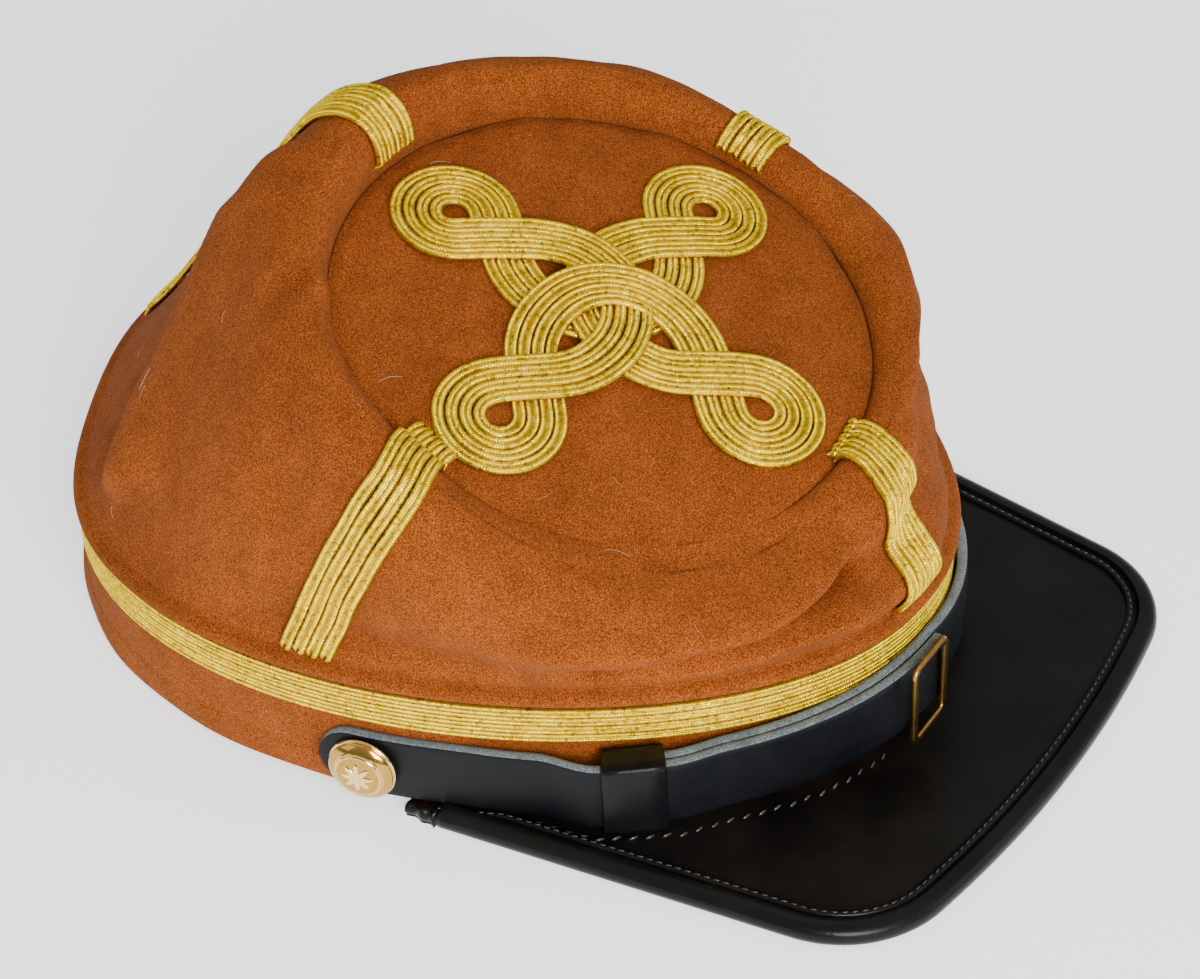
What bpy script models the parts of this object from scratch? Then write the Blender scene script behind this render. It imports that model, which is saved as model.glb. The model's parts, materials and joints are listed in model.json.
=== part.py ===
"""Kepi: a slouched wool cap with a recessed round top, gold braid, a leather peak and a buckled front strap.

Metres, +Z up, the peak towards -Y, the wearer's right towards -X. Everything is worked out round the centre
of the head opening, and the finished cap is then moved so that the origin is under the middle of its box.
Azimuths run from the front (0) past the wearer's left (90) and the back (180) to the right (270), in degrees.
"""

import math

import bmesh
import bpy
import numpy as np
from mathutils import Matrix, Vector

# Head opening and band
HEAD_LENGTH = 0.206
HEAD_WIDTH = 0.166
FRONT_NARROWING = 0.13
BAND_HEIGHT = 0.0295
BAND_WALL = 0.0025
FRONT_LIFT = 0.0036
BAND_DENT = 0.0065
BAND_DENT_AZIMUTH = 205.0
BAND_DENT_SPREAD = 24.0

# Crown of soft wool
CLOTH = 0.002
WELT_HEIGHT = 0.0045
WELT_REACH = 0.0028
TOP_DIAMETER = 0.118
TOP_FORWARD = 0.0272
TOP_HEIGHT = 0.0765
TOP_TILT = 17.6
TOP_LEAN = 2.8
TOP_CROWNING = 0.0015
ROLL_WIDTH = 0.0115
ROLL_HEIGHT = 0.0065
SEAM_DROP = 0.003
WALL_RISE = 0.010
WALL_BELLY = 0.010
SHOULDER = 0.022
FOLD_DEPTH = 0.006
FOLD_WIDTH = 0.010

# Gold braid, four flat cords side by side
CORD_WIDTH = 0.0031
CORD_THICKNESS = 0.0016
CORD_GROOVE = 0.0006
CORD_COUNT = 4
BAND_BRAID_WIDTH = 0.0088
KNOT_CORD_WIDTH = 0.0029
KNOT_THICKNESS = 0.0016
KNOT_LIFT = 0.0009
KNOT_REACH = 0.0397
KNOT_LOOP_RADIUS = 0.0086
KNOT_ARCH_RADIUS = 0.019
KNOT_ARCH_SHIFT = 0.0135
KNOT_SPLICE = 0.0002

# Leather peak
PEAK_REACH = 0.0370
PEAK_ROOT_AZIMUTH = 70.0
PEAK_TUCK_AZIMUTH = 75.0
PEAK_WIDTH = 0.140
PEAK_SIDE_SPREAD = 8.4
PEAK_CORNER_RADIUS = 0.027
PEAK_FRONT_TURN = 9.6
PEAK_THICKNESS = 0.0028
BINDING_WIDTH = 0.0068
BINDING_ROLL = 0.0026
BINDING_WALL = 0.0010

# Front strap, buckle, keeper and buttons
STRAP_WIDTH = 0.0155
STRAP_THICKNESS = 0.0022
STRAP_HEIGHT = 0.0098
STRAP_RISE = 0.0070
STRAP_LIFT_START = 8.0
BUTTON_AZIMUTH = 80.0
STRAP_TAIL = 0.0105
BUTTON_DIAMETER = 0.0152
BUTTON_DOME = 0.0034
BUTTON_RIM = 0.0010
KEEPER_AZIMUTH = -48.5
KEEPER_WIDTH = 0.0125
KEEPER_THICKNESS = 0.0012
BUCKLE_AZIMUTH = -6.0
BUCKLE_WIDTH = 0.0125
BUCKLE_HEIGHT = 0.0210
BUCKLE_BAR = 0.0030
BUCKLE_THICKNESS = 0.0010
BUCKLE_CORNER = 0.0027

# Gaps between pieces that touch
GAP = 0.0003
BRAID_GAP = 0.0004
WALL_BRAID_GAP = 0.0008

# Numbers of facets
AROUND = 64
WALL_SHARES = (0.05, 0.15, 0.26, 0.38, 0.50, 0.62, 0.74, 0.86, 0.94, 1.0)
ROLL_STEPS = 3
FIRST_WALL_ROW = 4
KNOT_LOOP_STEPS = 7
KNOT_ARCH_STEPS = 5
PEAK_STEPS = 7
STRAP_STEPS = 26
TAIL_STEPS = 3
BUTTON_SIDES = 20
BUTTON_RINGS = 4
BUCKLE_CORNER_STEPS = 3

# Worked out from the sizes above: the top's own axes, and the heights of the peak's faces
TOP_CENTRE = np.array([0.0, -TOP_FORWARD, TOP_HEIGHT])
TOP_FRONT = np.array([0.0, -math.cos(math.radians(TOP_TILT)), -math.sin(math.radians(TOP_TILT))])
TOP_LEFT = np.array([math.cos(math.radians(TOP_LEAN)), 0.0, math.sin(math.radians(TOP_LEAN))])
TOP_UP = np.cross(TOP_FRONT, TOP_LEFT) / np.linalg.norm(np.cross(TOP_FRONT, TOP_LEFT))
PEAK_BOTTOM = BINDING_WALL + GAP
PEAK_TOP = PEAK_BOTTOM + PEAK_THICKNESS
BINDING_TOP = PEAK_TOP + GAP + BINDING_WALL

# The crown's wall at each azimuth: how much steeper than straight it starts, how far it bellies out, how full
# its shoulder is, how high and how far out the rim rolls over the seam of the top, and how far the seam drops
# below the top's plane, as shares of WALL_RISE, WALL_BELLY, SHOULDER, ROLL_HEIGHT, ROLL_WIDTH and SEAM_DROP
CROWN_SECTIONS = (
    {"azimuth": 0, "rise": 0.3, "belly": 0.8, "shoulder": 0.55, "roll": 0.50, "reach": 1.00, "drop": 0.3},
    {"azimuth": 25, "rise": 0.3, "belly": 0.2, "shoulder": 0.30, "roll": 0.65, "reach": 1.05, "drop": 0.2},
    {"azimuth": 45, "rise": 0.2, "belly": 0.1, "shoulder": 0.45, "roll": 0.80, "reach": 1.30, "drop": 0.2},
    {"azimuth": 65, "rise": 0.2, "belly": 0.2, "shoulder": 0.60, "roll": 0.95, "reach": 1.30, "drop": 0.2},
    {"azimuth": 90, "rise": 0.2, "belly": 0.3, "shoulder": 0.45, "roll": 0.95, "reach": 1.00, "drop": 0.2},
    {"azimuth": 120, "rise": 0.2, "belly": 0.2, "shoulder": 0.60, "roll": 1.45, "reach": 1.05, "drop": 0.2},
    {"azimuth": 145, "rise": 0.0, "belly": 0.0, "shoulder": 0.60, "roll": 1.65, "reach": 1.05, "drop": 0.2},
    {"azimuth": 160, "rise": 0.0, "belly": 0.0, "shoulder": 0.60, "roll": 2.05, "reach": 1.00, "drop": 0.2},
    {"azimuth": 175, "rise": 0.0, "belly": -0.2, "shoulder": 0.95, "roll": 1.95, "reach": 1.15, "drop": 0.2},
    {"azimuth": 190, "rise": 0.0, "belly": -0.3, "shoulder": 1.10, "roll": 1.75, "reach": 1.15, "drop": 0.2},
    {"azimuth": 210, "rise": 0.0, "belly": 0.0, "shoulder": 0.80, "roll": 1.30, "reach": 1.00, "drop": 0.2},
    {"azimuth": 240, "rise": 0.0, "belly": 0.3, "shoulder": 0.60, "roll": 1.00, "reach": 1.00, "drop": 0.2},
    {"azimuth": 265, "rise": 0.1, "belly": 0.4, "shoulder": 0.55, "roll": 0.80, "reach": 1.00, "drop": 0.2},
    {"azimuth": 290, "rise": 0.2, "belly": 0.6, "shoulder": 0.70, "roll": 0.10, "reach": 1.00, "drop": 0.7},
    {"azimuth": 310, "rise": 0.3, "belly": 0.9, "shoulder": 0.75, "roll": -0.15, "reach": 1.00, "drop": 1.0},
    {"azimuth": 335, "rise": 0.3, "belly": 1.0, "shoulder": 0.70, "roll": -0.10, "reach": 1.00, "drop": 0.9},
)

# Folds and dents of the wall: a line from one place to another, each an azimuth and a height as a share of
# the wall, with a depth (outwards is plus) and a width as shares of FOLD_DEPTH and FOLD_WIDTH
CROWN_FOLDS = (
    {"name": "back ridge", "from": (193, 0.80), "to": (231, 0.22), "depth": 0.9, "width": 0.7},
    {"name": "back dent", "from": (184, 0.55), "to": (210, 0.25), "depth": -0.8, "width": 1.3},
    {"name": "front crease", "from": (347, 0.55), "to": (316, 0.12), "depth": -0.5, "width": 0.6},
    {"name": "front pinch", "from": (354, 0.40), "to": (38, 0.55), "depth": -0.9, "width": 1.0},
    {"name": "front bulge", "from": (345, 0.20), "to": (5, 0.20), "depth": 0.5, "width": 0.8},
)

# Height of each pleat of the binding's gathered ends, as a share of the binding's own height
TUCK_HEIGHTS = (0.70, 0.58, 0.72, 0.56, 0.46)

# Braids that run from the rim of the top down to the welt, as azimuths at the top and at the foot
WALL_BRAIDS = (
    {"name": "braid_front", "top": 6.0, "foot": -3.0},
    {"name": "braid_left", "top": 93.0, "foot": 90.0},
    {"name": "braid_back", "top": 177.0, "foot": 180.0},
    {"name": "braid_right", "top": 260.0, "foot": 273.0},
)


def material(name, colour, roughness, metallic=0.0):
    """Return a plain Principled material."""
    made = bpy.data.materials.new(name)
    made.use_nodes = True
    shader = made.node_tree.nodes["Principled BSDF"]
    shader.inputs["Base Color"].default_value = (*colour, 1.0)
    shader.inputs["Roughness"].default_value = roughness
    shader.inputs["Metallic"].default_value = metallic
    return made


def add_object(name, mesh, finish):
    """Put a mesh in the scene as a named sub-part with its material."""
    mesh.materials.clear()
    mesh.materials.append(finish)
    made = bpy.data.objects.new(name, mesh)
    bpy.context.collection.objects.link(made)
    return made


def grid_faces(rows, columns, close_rows, close_columns):
    """Return the quads of a grid of points, where either direction may close on itself."""
    faces = []
    for i in range(rows if close_rows else rows - 1):
        for j in range(columns if close_columns else columns - 1):
            i2 = (i + 1) % rows
            j2 = (j + 1) % columns
            faces.append((i * columns + j, i2 * columns + j, i2 * columns + j2, i * columns + j2))
    return faces


def solid(name, points, faces):
    """Return a mesh from points and faces, with its faces turned outwards."""
    mesh = bpy.data.meshes.new(name)
    mesh.from_pydata([tuple(map(float, p)) for p in points], [], faces)
    work = bmesh.new()
    work.from_mesh(mesh)
    bmesh.ops.recalc_face_normals(work, faces=work.faces)
    work.to_mesh(mesh)
    work.free()
    mesh.shade_smooth()
    mesh.set_sharp_from_angle(angle=math.radians(40))
    return mesh


def swept_solid(name, stations, closed):
    """Return a solid from a row of equal closed sections, capped at both ends unless it closes on itself."""
    stations = np.asarray(stations)
    rows, columns = stations.shape[:2]
    faces = grid_faces(rows, columns, closed, True)
    if not closed:
        faces.append(tuple(range(columns)))
        faces.append(tuple(range((rows - 1) * columns, rows * columns)))
    return solid(name, stations.reshape(-1, 3), faces)


def across(rows, column, azimuth):
    """Read a table's column at an azimuth, as a smooth curve that closes on itself."""
    places = np.array([row["azimuth"] for row in rows], float)
    values = np.array([row[column] for row in rows], float)
    places = np.concatenate([places[-2:] - 360, places, places[:2] + 360])
    values = np.concatenate([values[-2:], values, values[:2]])
    slopes = np.gradient(values, places)
    turned = np.mod(azimuth, 360.0)
    i = np.clip(np.searchsorted(places, turned, side="right") - 1, 0, len(places) - 2)
    span = places[i + 1] - places[i]
    t = (turned - places[i]) / span
    return (
        (2 * t**3 - 3 * t**2 + 1) * values[i]
        + (t**3 - 2 * t**2 + t) * span * slopes[i]
        + (3 * t**2 - 2 * t**3) * values[i + 1]
        + (t**3 - t**2) * span * slopes[i + 1]
    )


def bump(distance, width):
    """Return a smooth bump that is 1 at 0 and fades over a width."""
    return np.exp(-((distance / width) ** 2))


def ring(azimuth, offset, height):
    """Return points round the band, a distance outside its outer face and at a height.

    The band, the crown's foot, the braid, the peak's cut-out and the strap all follow this line.
    """
    turn = np.radians(np.asarray(azimuth, float))
    length = HEAD_LENGTH / 2
    width = HEAD_WIDTH / 2
    tangent_x = width * (np.cos(turn) - FRONT_NARROWING * np.cos(2 * turn))
    tangent_y = length * np.sin(turn)
    size = np.hypot(tangent_x, tangent_y)
    away = np.mod(np.asarray(azimuth, float) - BAND_DENT_AZIMUTH + 180, 360) - 180
    offset = offset - BAND_DENT * bump(away, BAND_DENT_SPREAD) * np.clip(height / BAND_HEIGHT, 0.0, 1.0)
    x = width * (1 - FRONT_NARROWING * np.cos(turn)) * np.sin(turn) + offset * tangent_y / size
    y = -length * np.cos(turn) - offset * tangent_x / size
    return np.stack([x, y, np.broadcast_to(height, x.shape)], -1)


def ring_azimuth_step(azimuth, distance):
    """Return how many degrees round the band make a distance near an azimuth."""
    here, there = ring(np.array([azimuth - 0.5, azimuth + 0.5]), 0.0, 0.0)
    return distance / np.linalg.norm(there - here)


def on_top(azimuth, radius, rise):
    """Return points of the top's own plane, at an azimuth and a radius, and a rise above it."""
    turn = np.radians(np.asarray(azimuth, float))[..., None]
    radius = np.asarray(radius, float)[..., None]
    rise = np.asarray(rise, float)[..., None]
    return TOP_CENTRE + radius * (np.sin(turn) * TOP_LEFT + np.cos(turn) * TOP_FRONT) + rise * TOP_UP


def top_rise(azimuth, radius):
    """Return the top's height over its plane, crowned in the middle and dropping towards its seam."""
    share = np.asarray(radius, float) / (TOP_DIAMETER / 2)
    return TOP_CROWNING * (1 - share**2) - SEAM_DROP * across(CROWN_SECTIONS, "drop", azimuth) * share**4


def fold_push(azimuth, share):
    """Return how far the folds and dents push the wall outwards at a place on it."""
    push = 0.0
    around = HEAD_WIDTH / 2
    tall = TOP_HEIGHT - BAND_HEIGHT
    for fold in CROWN_FOLDS:
        (a0, s0), (a1, s1) = fold["from"], fold["to"]
        start = np.array([0.0, s0 * tall])
        end = np.array([math.radians((a1 - a0 + 180) % 360 - 180) * around, s1 * tall])
        place_x = np.radians((azimuth - a0 + 180) % 360 - 180) * around
        place_y = share * tall
        along = end - start
        t = ((place_x - start[0]) * along[0] + (place_y - start[1]) * along[1]) / (along @ along)
        t = np.clip(t, 0.0, 1.0)
        distance = np.hypot(place_x - start[0] - t * along[0], place_y - start[1] - t * along[1])
        push = push + fold["depth"] * FOLD_DEPTH * bump(distance, fold["width"] * FOLD_WIDTH)
    return push


def crown_outside(azimuth):
    """Return the outer surface at some azimuths, each a row of points from the foot to the top's seam."""
    azimuth = np.asarray(azimuth, float)
    foot = BAND_HEIGHT + GAP
    roll_width = ROLL_WIDTH * across(CROWN_SECTIONS, "reach", azimuth)
    roll_height = ROLL_HEIGHT * across(CROWN_SECTIONS, "roll", azimuth)
    rows = [
        ring(azimuth, 0.35 * WELT_REACH, foot),
        ring(azimuth, WELT_REACH, foot + 0.35 * WELT_HEIGHT),
        ring(azimuth, 0.85 * WELT_REACH, foot + 0.75 * WELT_HEIGHT),
        ring(azimuth, 0.0, foot + WELT_HEIGHT),
    ]
    # The wall, a smooth curve from the crease over the welt to the crest of the rolled rim
    crease = rows[-1]
    seam = top_rise(azimuth, TOP_DIAMETER / 2)
    crest = on_top(azimuth, TOP_DIAMETER / 2 + 0.5 * roll_width, seam + roll_height)
    outward = ring(azimuth, 1.0, 0.0) - ring(azimuth, 0.0, 0.0)
    rise = (WALL_RISE * across(CROWN_SECTIONS, "rise", azimuth))[..., None]
    belly = (WALL_BELLY * across(CROWN_SECTIONS, "belly", azimuth))[..., None]
    rim_out = on_top(azimuth, 1.0, 0.0) - on_top(azimuth, 0.0, 0.0)
    shoulder = (SHOULDER * across(CROWN_SECTIONS, "shoulder", azimuth))[..., None]
    steer_low = crease + (crest - crease) / 3 + rise * np.array([0.0, 0.0, 1.0]) + belly * outward
    steer_high = crest + shoulder * rim_out
    for t in WALL_SHARES:
        point = (
            (1 - t) ** 3 * crease
            + 3 * (1 - t) ** 2 * t * steer_low
            + 3 * (1 - t) * t**2 * steer_high
            + t**3 * crest
        )
        push = fold_push(azimuth, t) * math.sin(math.pi * min(t * 1.6, 0.5)) * (1 - t**8)
        rows.append(point + push[..., None] * outward)
    # The inner side of the rolled rim, down to the seam
    for step in range(1, ROLL_STEPS + 1):
        turn = math.pi / 2 * step / ROLL_STEPS
        radius = TOP_DIAMETER / 2 + 0.5 * roll_width * (1 - math.sin(turn))
        rows.append(on_top(azimuth, radius, seam + roll_height * math.cos(turn)))
    return np.stack(rows, 1)


def crown_facets(azimuth):
    """Return the outer surface as the crown's facets have it, straight between their edges."""
    azimuth = np.asarray(azimuth, float)
    step = 360.0 / AROUND
    low = np.floor(azimuth / step) * step
    share = ((azimuth - low) / step)[:, None, None]
    return (1 - share) * crown_outside(low) + share * crown_outside(low + step)


def surface_normals(points):
    """Return the outward normals of a surface whose rows close round the crown."""
    around = np.roll(points, -1, 0) - np.roll(points, 1, 0)
    along = np.gradient(points, axis=1)
    normals = np.cross(around, along)
    return normals / np.linalg.norm(normals, axis=-1, keepdims=True)


def make_crown_side():
    """Return the wool wall with its welt at the foot and its rolled rim, open at both ends."""
    azimuths = np.arange(AROUND) * 360.0 / AROUND
    outside = crown_outside(azimuths)
    inside = outside - CLOTH * surface_normals(outside)
    inside[:, 0] = ring(azimuths, -CLOTH, BAND_HEIGHT + GAP)
    inside[:, -1] = outside[:, -1] - CLOTH * TOP_UP
    keep = [0, 3, *range(5, outside.shape[1] - 1, 2), outside.shape[1] - 1]
    section = np.concatenate([outside, inside[:, keep[::-1]]], 1)
    return swept_solid("crown_side", section, True)


def make_crown_top():
    """Return the round top, a slightly crowned disc of wool inside the rolled rim."""
    azimuths = np.arange(AROUND) * 360.0 / AROUND
    edge = TOP_DIAMETER / 2 - GAP
    shares = (0.0, 0.34, 0.62, 0.86, 1.0)
    points = [on_top(0.0, 0.0, TOP_CROWNING), on_top(0.0, 0.0, TOP_CROWNING - CLOTH)]
    faces = []
    starts = {}
    for side, drop in (("over", 0.0), ("under", CLOTH)):
        for share in shares[1:]:
            starts[side, share] = len(points)
            radius = np.full(AROUND, share * edge)
            points += list(on_top(azimuths, radius, top_rise(azimuths, radius) - drop))
    for i in range(AROUND):
        j = (i + 1) % AROUND
        for pole, side in ((0, "over"), (1, "under")):
            first = starts[side, shares[1]]
            faces.append((pole, first + i, first + j))
            for inner, outer in zip(shares[1:-1], shares[2:]):
                a, b = starts[side, inner], starts[side, outer]
                faces.append((a + i, b + i, b + j, a + j))
        a, b = starts["over", 1.0], starts["under", 1.0]
        faces.append((a + i, b + i, b + j, a + j))
    return solid("crown_top", points, faces)


def ring_solid(name, azimuths, profile, closed):
    """Return a solid swept round the band from a profile of pairs: distance outside it and height."""
    columns = [ring(azimuths, out, height) for out, height in profile]
    return swept_solid(name, np.stack(columns, 1), closed)


def make_band():
    """Return the wool band round the head."""
    profile = [
        (-BAND_WALL, 0.0),
        (0.0, 0.0),
        (0.0, BAND_HEIGHT / 2),
        (0.0, BAND_HEIGHT),
        (-BAND_WALL, BAND_HEIGHT),
    ]
    return ring_solid("band", np.arange(AROUND) * 360.0 / AROUND, profile, True)


def braid_profile(cord_width, thickness):
    """Return the section of some flat cords side by side, as pairs: place across and thickness."""
    half = CORD_COUNT * cord_width / 2
    profile = [(-half, 0.0), (half, 0.0)]
    for cord in range(CORD_COUNT, -1, -1):
        edge = cord * cord_width - half
        profile.append((edge, thickness - CORD_GROOVE))
        if cord:
            profile.append((edge - cord_width / 2, thickness))
    return profile


def make_band_braid():
    """Return the gold braid round the top of the band."""
    profile = [
        (BRAID_GAP + thick, BAND_HEIGHT - BAND_BRAID_WIDTH / 2 + place)
        for place, thick in braid_profile(BAND_BRAID_WIDTH / CORD_COUNT, CORD_THICKNESS)
    ]
    return ring_solid("band_braid", np.arange(AROUND) * 360.0 / AROUND, profile, True)


def make_wall_braid(name, top, foot):
    """Return a braid that runs from the seam of the top, over the rim and down to the welt."""
    profile = braid_profile(CORD_WIDTH, CORD_THICKNESS)
    spread = (foot - top + 180) % 360 - 180
    last_row = crown_outside(np.array([top])).shape[1] - 1
    rows = range(FIRST_WALL_ROW, last_row)
    sections = []
    for row in rows:
        middle = foot - spread * (row - rows[0]) / (len(rows) - 1)
        line = crown_outside(np.array([middle - 1.0, middle + 1.0]))[:, row]
        step = np.linalg.norm(line[1] - line[0]) / 2
        places = np.array([middle + place / step for place, _ in profile])
        surface = crown_facets(places)
        around = crown_facets(places + 0.5)[:, row] - crown_facets(places - 0.5)[:, row]
        normal = np.cross(around, surface[:, row + 1] - surface[:, row - 1])
        normal = normal / np.linalg.norm(normal, axis=-1, keepdims=True)
        lift = np.array([WALL_BRAID_GAP + thick for _, thick in profile])[:, None]
        sections.append(surface[:, row] + lift * normal)
    return swept_solid(name, sections, False)


def knot_quarter():
    """Return a quarter of the knot's middle line in its own square, from one loop's tip to the next one's.

    The line turns down out of the loop at the upper right, round the arch under the middle and up into the
    loop at the upper left.
    """
    corner = KNOT_REACH / math.sqrt(2)
    line = []
    for step in range(KNOT_LOOP_STEPS + 1):
        turn = math.radians(45 + 135 * step / KNOT_LOOP_STEPS)
        line.append((corner + KNOT_LOOP_RADIUS * math.cos(turn), corner + KNOT_LOOP_RADIUS * math.sin(turn)))
    # The straight run leans in a little, from the side of the loop to the side of the arch
    for step in range(KNOT_ARCH_STEPS + 1):
        turn = math.radians(90 * step / KNOT_ARCH_STEPS)
        across_by, down_by = KNOT_ARCH_RADIUS * math.cos(turn), KNOT_ARCH_RADIUS * math.sin(turn)
        line.append((across_by, KNOT_ARCH_SHIFT - down_by))
    return line + [(-x, y) for x, y in line[-2::-1]]


def crossing_lengths(lines):
    """Return where the knot's parts cross, each a part and a length along it, and all lengths along them."""
    found = []
    lengths = []
    for line in lines:
        steps = np.linalg.norm(np.diff(line, axis=0), axis=1)
        lengths.append(np.concatenate([[0.0], np.cumsum(steps)]))
    for first, line in enumerate(lines):
        for i in range(len(line) - 1):
            p, r = line[i], line[i + 1] - line[i]
            for second, other in enumerate(lines):
                for j in range(len(other) - 1):
                    if (second, j) <= (first, i) or (first == second and abs(i - j) < 2):
                        continue
                    q, s = other[j], other[j + 1] - other[j]
                    area = r[0] * s[1] - r[1] * s[0]
                    if abs(area) < 1e-12:
                        continue
                    t = ((q - p)[0] * s[1] - (q - p)[1] * s[0]) / area
                    u = ((q - p)[0] * r[1] - (q - p)[1] * r[0]) / area
                    if 0 <= t < 1 and 0 <= u < 1:
                        found.append((first, lengths[first][i] + t * np.linalg.norm(r)))
                        found.append((second, lengths[second][j] + u * np.linalg.norm(s)))
    return sorted(found), lengths


def ribbon_sections(line, lift):
    """Return the sections of one flat ribbon of the knot along its middle line."""
    directions = np.gradient(line, axis=0)
    for end in (0, -1):
        # A quarter starts and ends at the tips of two loops, square to the line from the knot's middle
        directions[end] = (-line[end][1], line[end][0])
    directions = directions / np.linalg.norm(directions, axis=1, keepdims=True)
    sideways = np.stack([-directions[:, 1], directions[:, 0]], 1)
    middle = line.copy()
    middle[0] -= KNOT_SPLICE * directions[0]
    middle[-1] += KNOT_SPLICE * directions[-1]
    half = CORD_COUNT * KNOT_CORD_WIDTH / 2
    section = [(-half, 0.0), (half, 0.0), (half, 0.6), (0.8 * half, 1.0), (-0.8 * half, 1.0), (-half, 0.6)]
    sections = []
    for point, side, rise in zip(middle, sideways, lift):
        row = []
        for place, share in section:
            x, y = point + place * side
            row.append((x, y, share * KNOT_THICKNESS + (rise if share else 0.0)))
        sections.append(row)
    return sections


def join_solids(name, meshes):
    """Return the union of some closed meshes that overlap."""
    whole = bpy.data.objects.new(name, meshes[0])
    bpy.context.collection.objects.link(whole)
    for mesh in meshes[1:]:
        other = bpy.data.objects.new(name, mesh)
        bpy.context.collection.objects.link(other)
        join = whole.modifiers.new("join", "BOOLEAN")
        join.operation = "UNION"
        join.solver = "MANIFOLD"
        join.object = other
        bpy.context.view_layer.update()
        graph = bpy.context.evaluated_depsgraph_get()
        joined = bpy.data.meshes.new_from_object(whole.evaluated_get(graph))
        whole.modifiers.clear()
        whole.data = joined
        bpy.data.objects.remove(other)
    joined = whole.data
    bpy.data.objects.remove(whole)
    return joined


def make_top_knot():
    """Return the knot of braid on the top, whose ribbons pass over and under each other in turn."""
    quarter = np.array(knot_quarter())
    lines = []
    for turn in range(4):
        angle = turn * math.pi / 2
        spin = np.array([[math.cos(angle), math.sin(angle)], [-math.sin(angle), math.cos(angle)]])
        lines.append(quarter @ spin)
    crossings, lengths = crossing_lengths(lines)
    meshes = []
    for part, line in enumerate(lines):
        lift = np.zeros(len(line))
        for order, (where, length) in enumerate(crossings):
            if where == part and order % 2 == 0:
                reach = 0.8 * CORD_COUNT * KNOT_CORD_WIDTH
                lift = np.maximum(lift, KNOT_LIFT * bump(lengths[part] - length, reach))
        meshes.append(swept_solid("knot_ribbon", ribbon_sections(line, lift), False))
    flat = join_solids("top_knot", meshes)
    # Lay the flat knot on the top, its loops towards the front, the back and the sides, which mirrors it
    for vertex in flat.vertices:
        x, y, z = vertex.co
        radius = math.hypot(x, y)
        azimuth = math.degrees(math.atan2(x, y)) + 45.0
        vertex.co = on_top(azimuth, radius, float(top_rise(azimuth, radius)) + BRAID_GAP + z)
    flat.flip_normals()
    flat.name = "top_knot"
    return flat


def peak_outline():
    """Return the peak's edge from its right root round to its left root, with the directions outwards.

    The front is a shallow arc, each corner a tighter one, and the sides run straight back and outwards.
    """
    front = -(HEAD_LENGTH / 2 + PEAK_REACH)
    root_y = ring(PEAK_ROOT_AZIMUTH, 0.0, 0.0)[1]
    bow = math.radians(PEAK_FRONT_TURN)
    side = math.radians(90 - PEAK_SIDE_SPREAD)
    corner_x = PEAK_WIDTH / 2 - PEAK_CORNER_RADIUS * math.sin(side)
    bow_radius = corner_x / math.sin(bow) + PEAK_CORNER_RADIUS
    corner_y = front + bow_radius - (bow_radius - PEAK_CORNER_RADIUS) * math.cos(bow)
    half = []
    for turn in np.linspace(0.0, bow, PEAK_STEPS, endpoint=False):
        half.append((bow_radius * math.sin(turn), front + bow_radius * (1 - math.cos(turn)), turn))
    for turn in np.linspace(bow, side, PEAK_STEPS + 1):
        x = corner_x + PEAK_CORNER_RADIUS * math.sin(turn)
        half.append((x, corner_y - PEAK_CORNER_RADIUS * math.cos(turn), turn))
    start_x, start_y, _ = half[-1]
    for along in np.linspace(0.0, root_y - start_y, PEAK_STEPS)[1:]:
        half.append((start_x + along / math.tan(side), start_y + along, side))
    points = np.array([(x, y) for x, y, _ in half])
    outward = np.array([(math.sin(turn), -math.cos(turn)) for _, _, turn in half])
    mirror = np.array([-1.0, 1.0])
    points = np.concatenate([points[:0:-1] * mirror, points])
    outward = np.concatenate([outward[:0:-1] * mirror, outward])
    return points, outward


def band_half_width(y):
    """Return how far the band's outer face stands from the middle at a place along the cap."""
    azimuth = math.degrees(math.acos(np.clip(-y / (HEAD_LENGTH / 2), -1.0, 1.0)))
    return float(ring(azimuth, 0.0, 0.0)[0])


def make_peak():
    """Return the flat leather peak, cut out round the band."""
    points, outward = peak_outline()
    outer = points - BINDING_ROLL * outward
    azimuths = np.linspace(PEAK_ROOT_AZIMUTH, -PEAK_ROOT_AZIMUTH, 2 * PEAK_STEPS + 13)
    inner = ring(azimuths, GAP, 0.0)[:, :2]
    plan = np.concatenate([outer, inner])
    count = len(plan)
    corners = [(x, y, height) for height in (PEAK_BOTTOM, PEAK_TOP) for x, y in plan]
    faces = [tuple(range(count)), tuple(range(count, 2 * count))]
    faces += [(i, (i + 1) % count, count + (i + 1) % count, count + i) for i in range(count)]
    return solid("peak", corners, faces)


def make_peak_binding():
    """Return the leather binding that is folded over the peak's edge, rolled at its outer side.

    Its lap narrows at the roots, where the strap along the band leaves it less room.
    """
    strap_room = BRAID_GAP + STRAP_THICKNESS + 4 * GAP
    sections = []
    for (x, y), (out_x, out_y) in zip(*peak_outline()):
        inner = -BINDING_WIDTH
        if y > -HEAD_LENGTH / 2:
            inner = -min(BINDING_WIDTH, abs(x) - band_half_width(y) - strap_room)
        section = [
            (inner, BINDING_TOP - 0.4 * BINDING_WALL),
            (inner, PEAK_TOP + GAP),
            (GAP - BINDING_ROLL, PEAK_TOP + GAP),
            (GAP - BINDING_ROLL, PEAK_BOTTOM - GAP),
            (inner, PEAK_BOTTOM - GAP),
            (inner, 0.0),
            (-0.45 * BINDING_ROLL, 0.0),
            (0.0, 0.22 * BINDING_TOP),
            (0.0, 0.66 * BINDING_TOP),
            (-0.5 * BINDING_ROLL, BINDING_TOP),
            (0.5 * inner, BINDING_TOP),
        ]
        sections.append([(x + out * out_x, y + out * out_y, height) for out, height in section])
    return swept_solid("peak_binding", sections, False)


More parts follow.
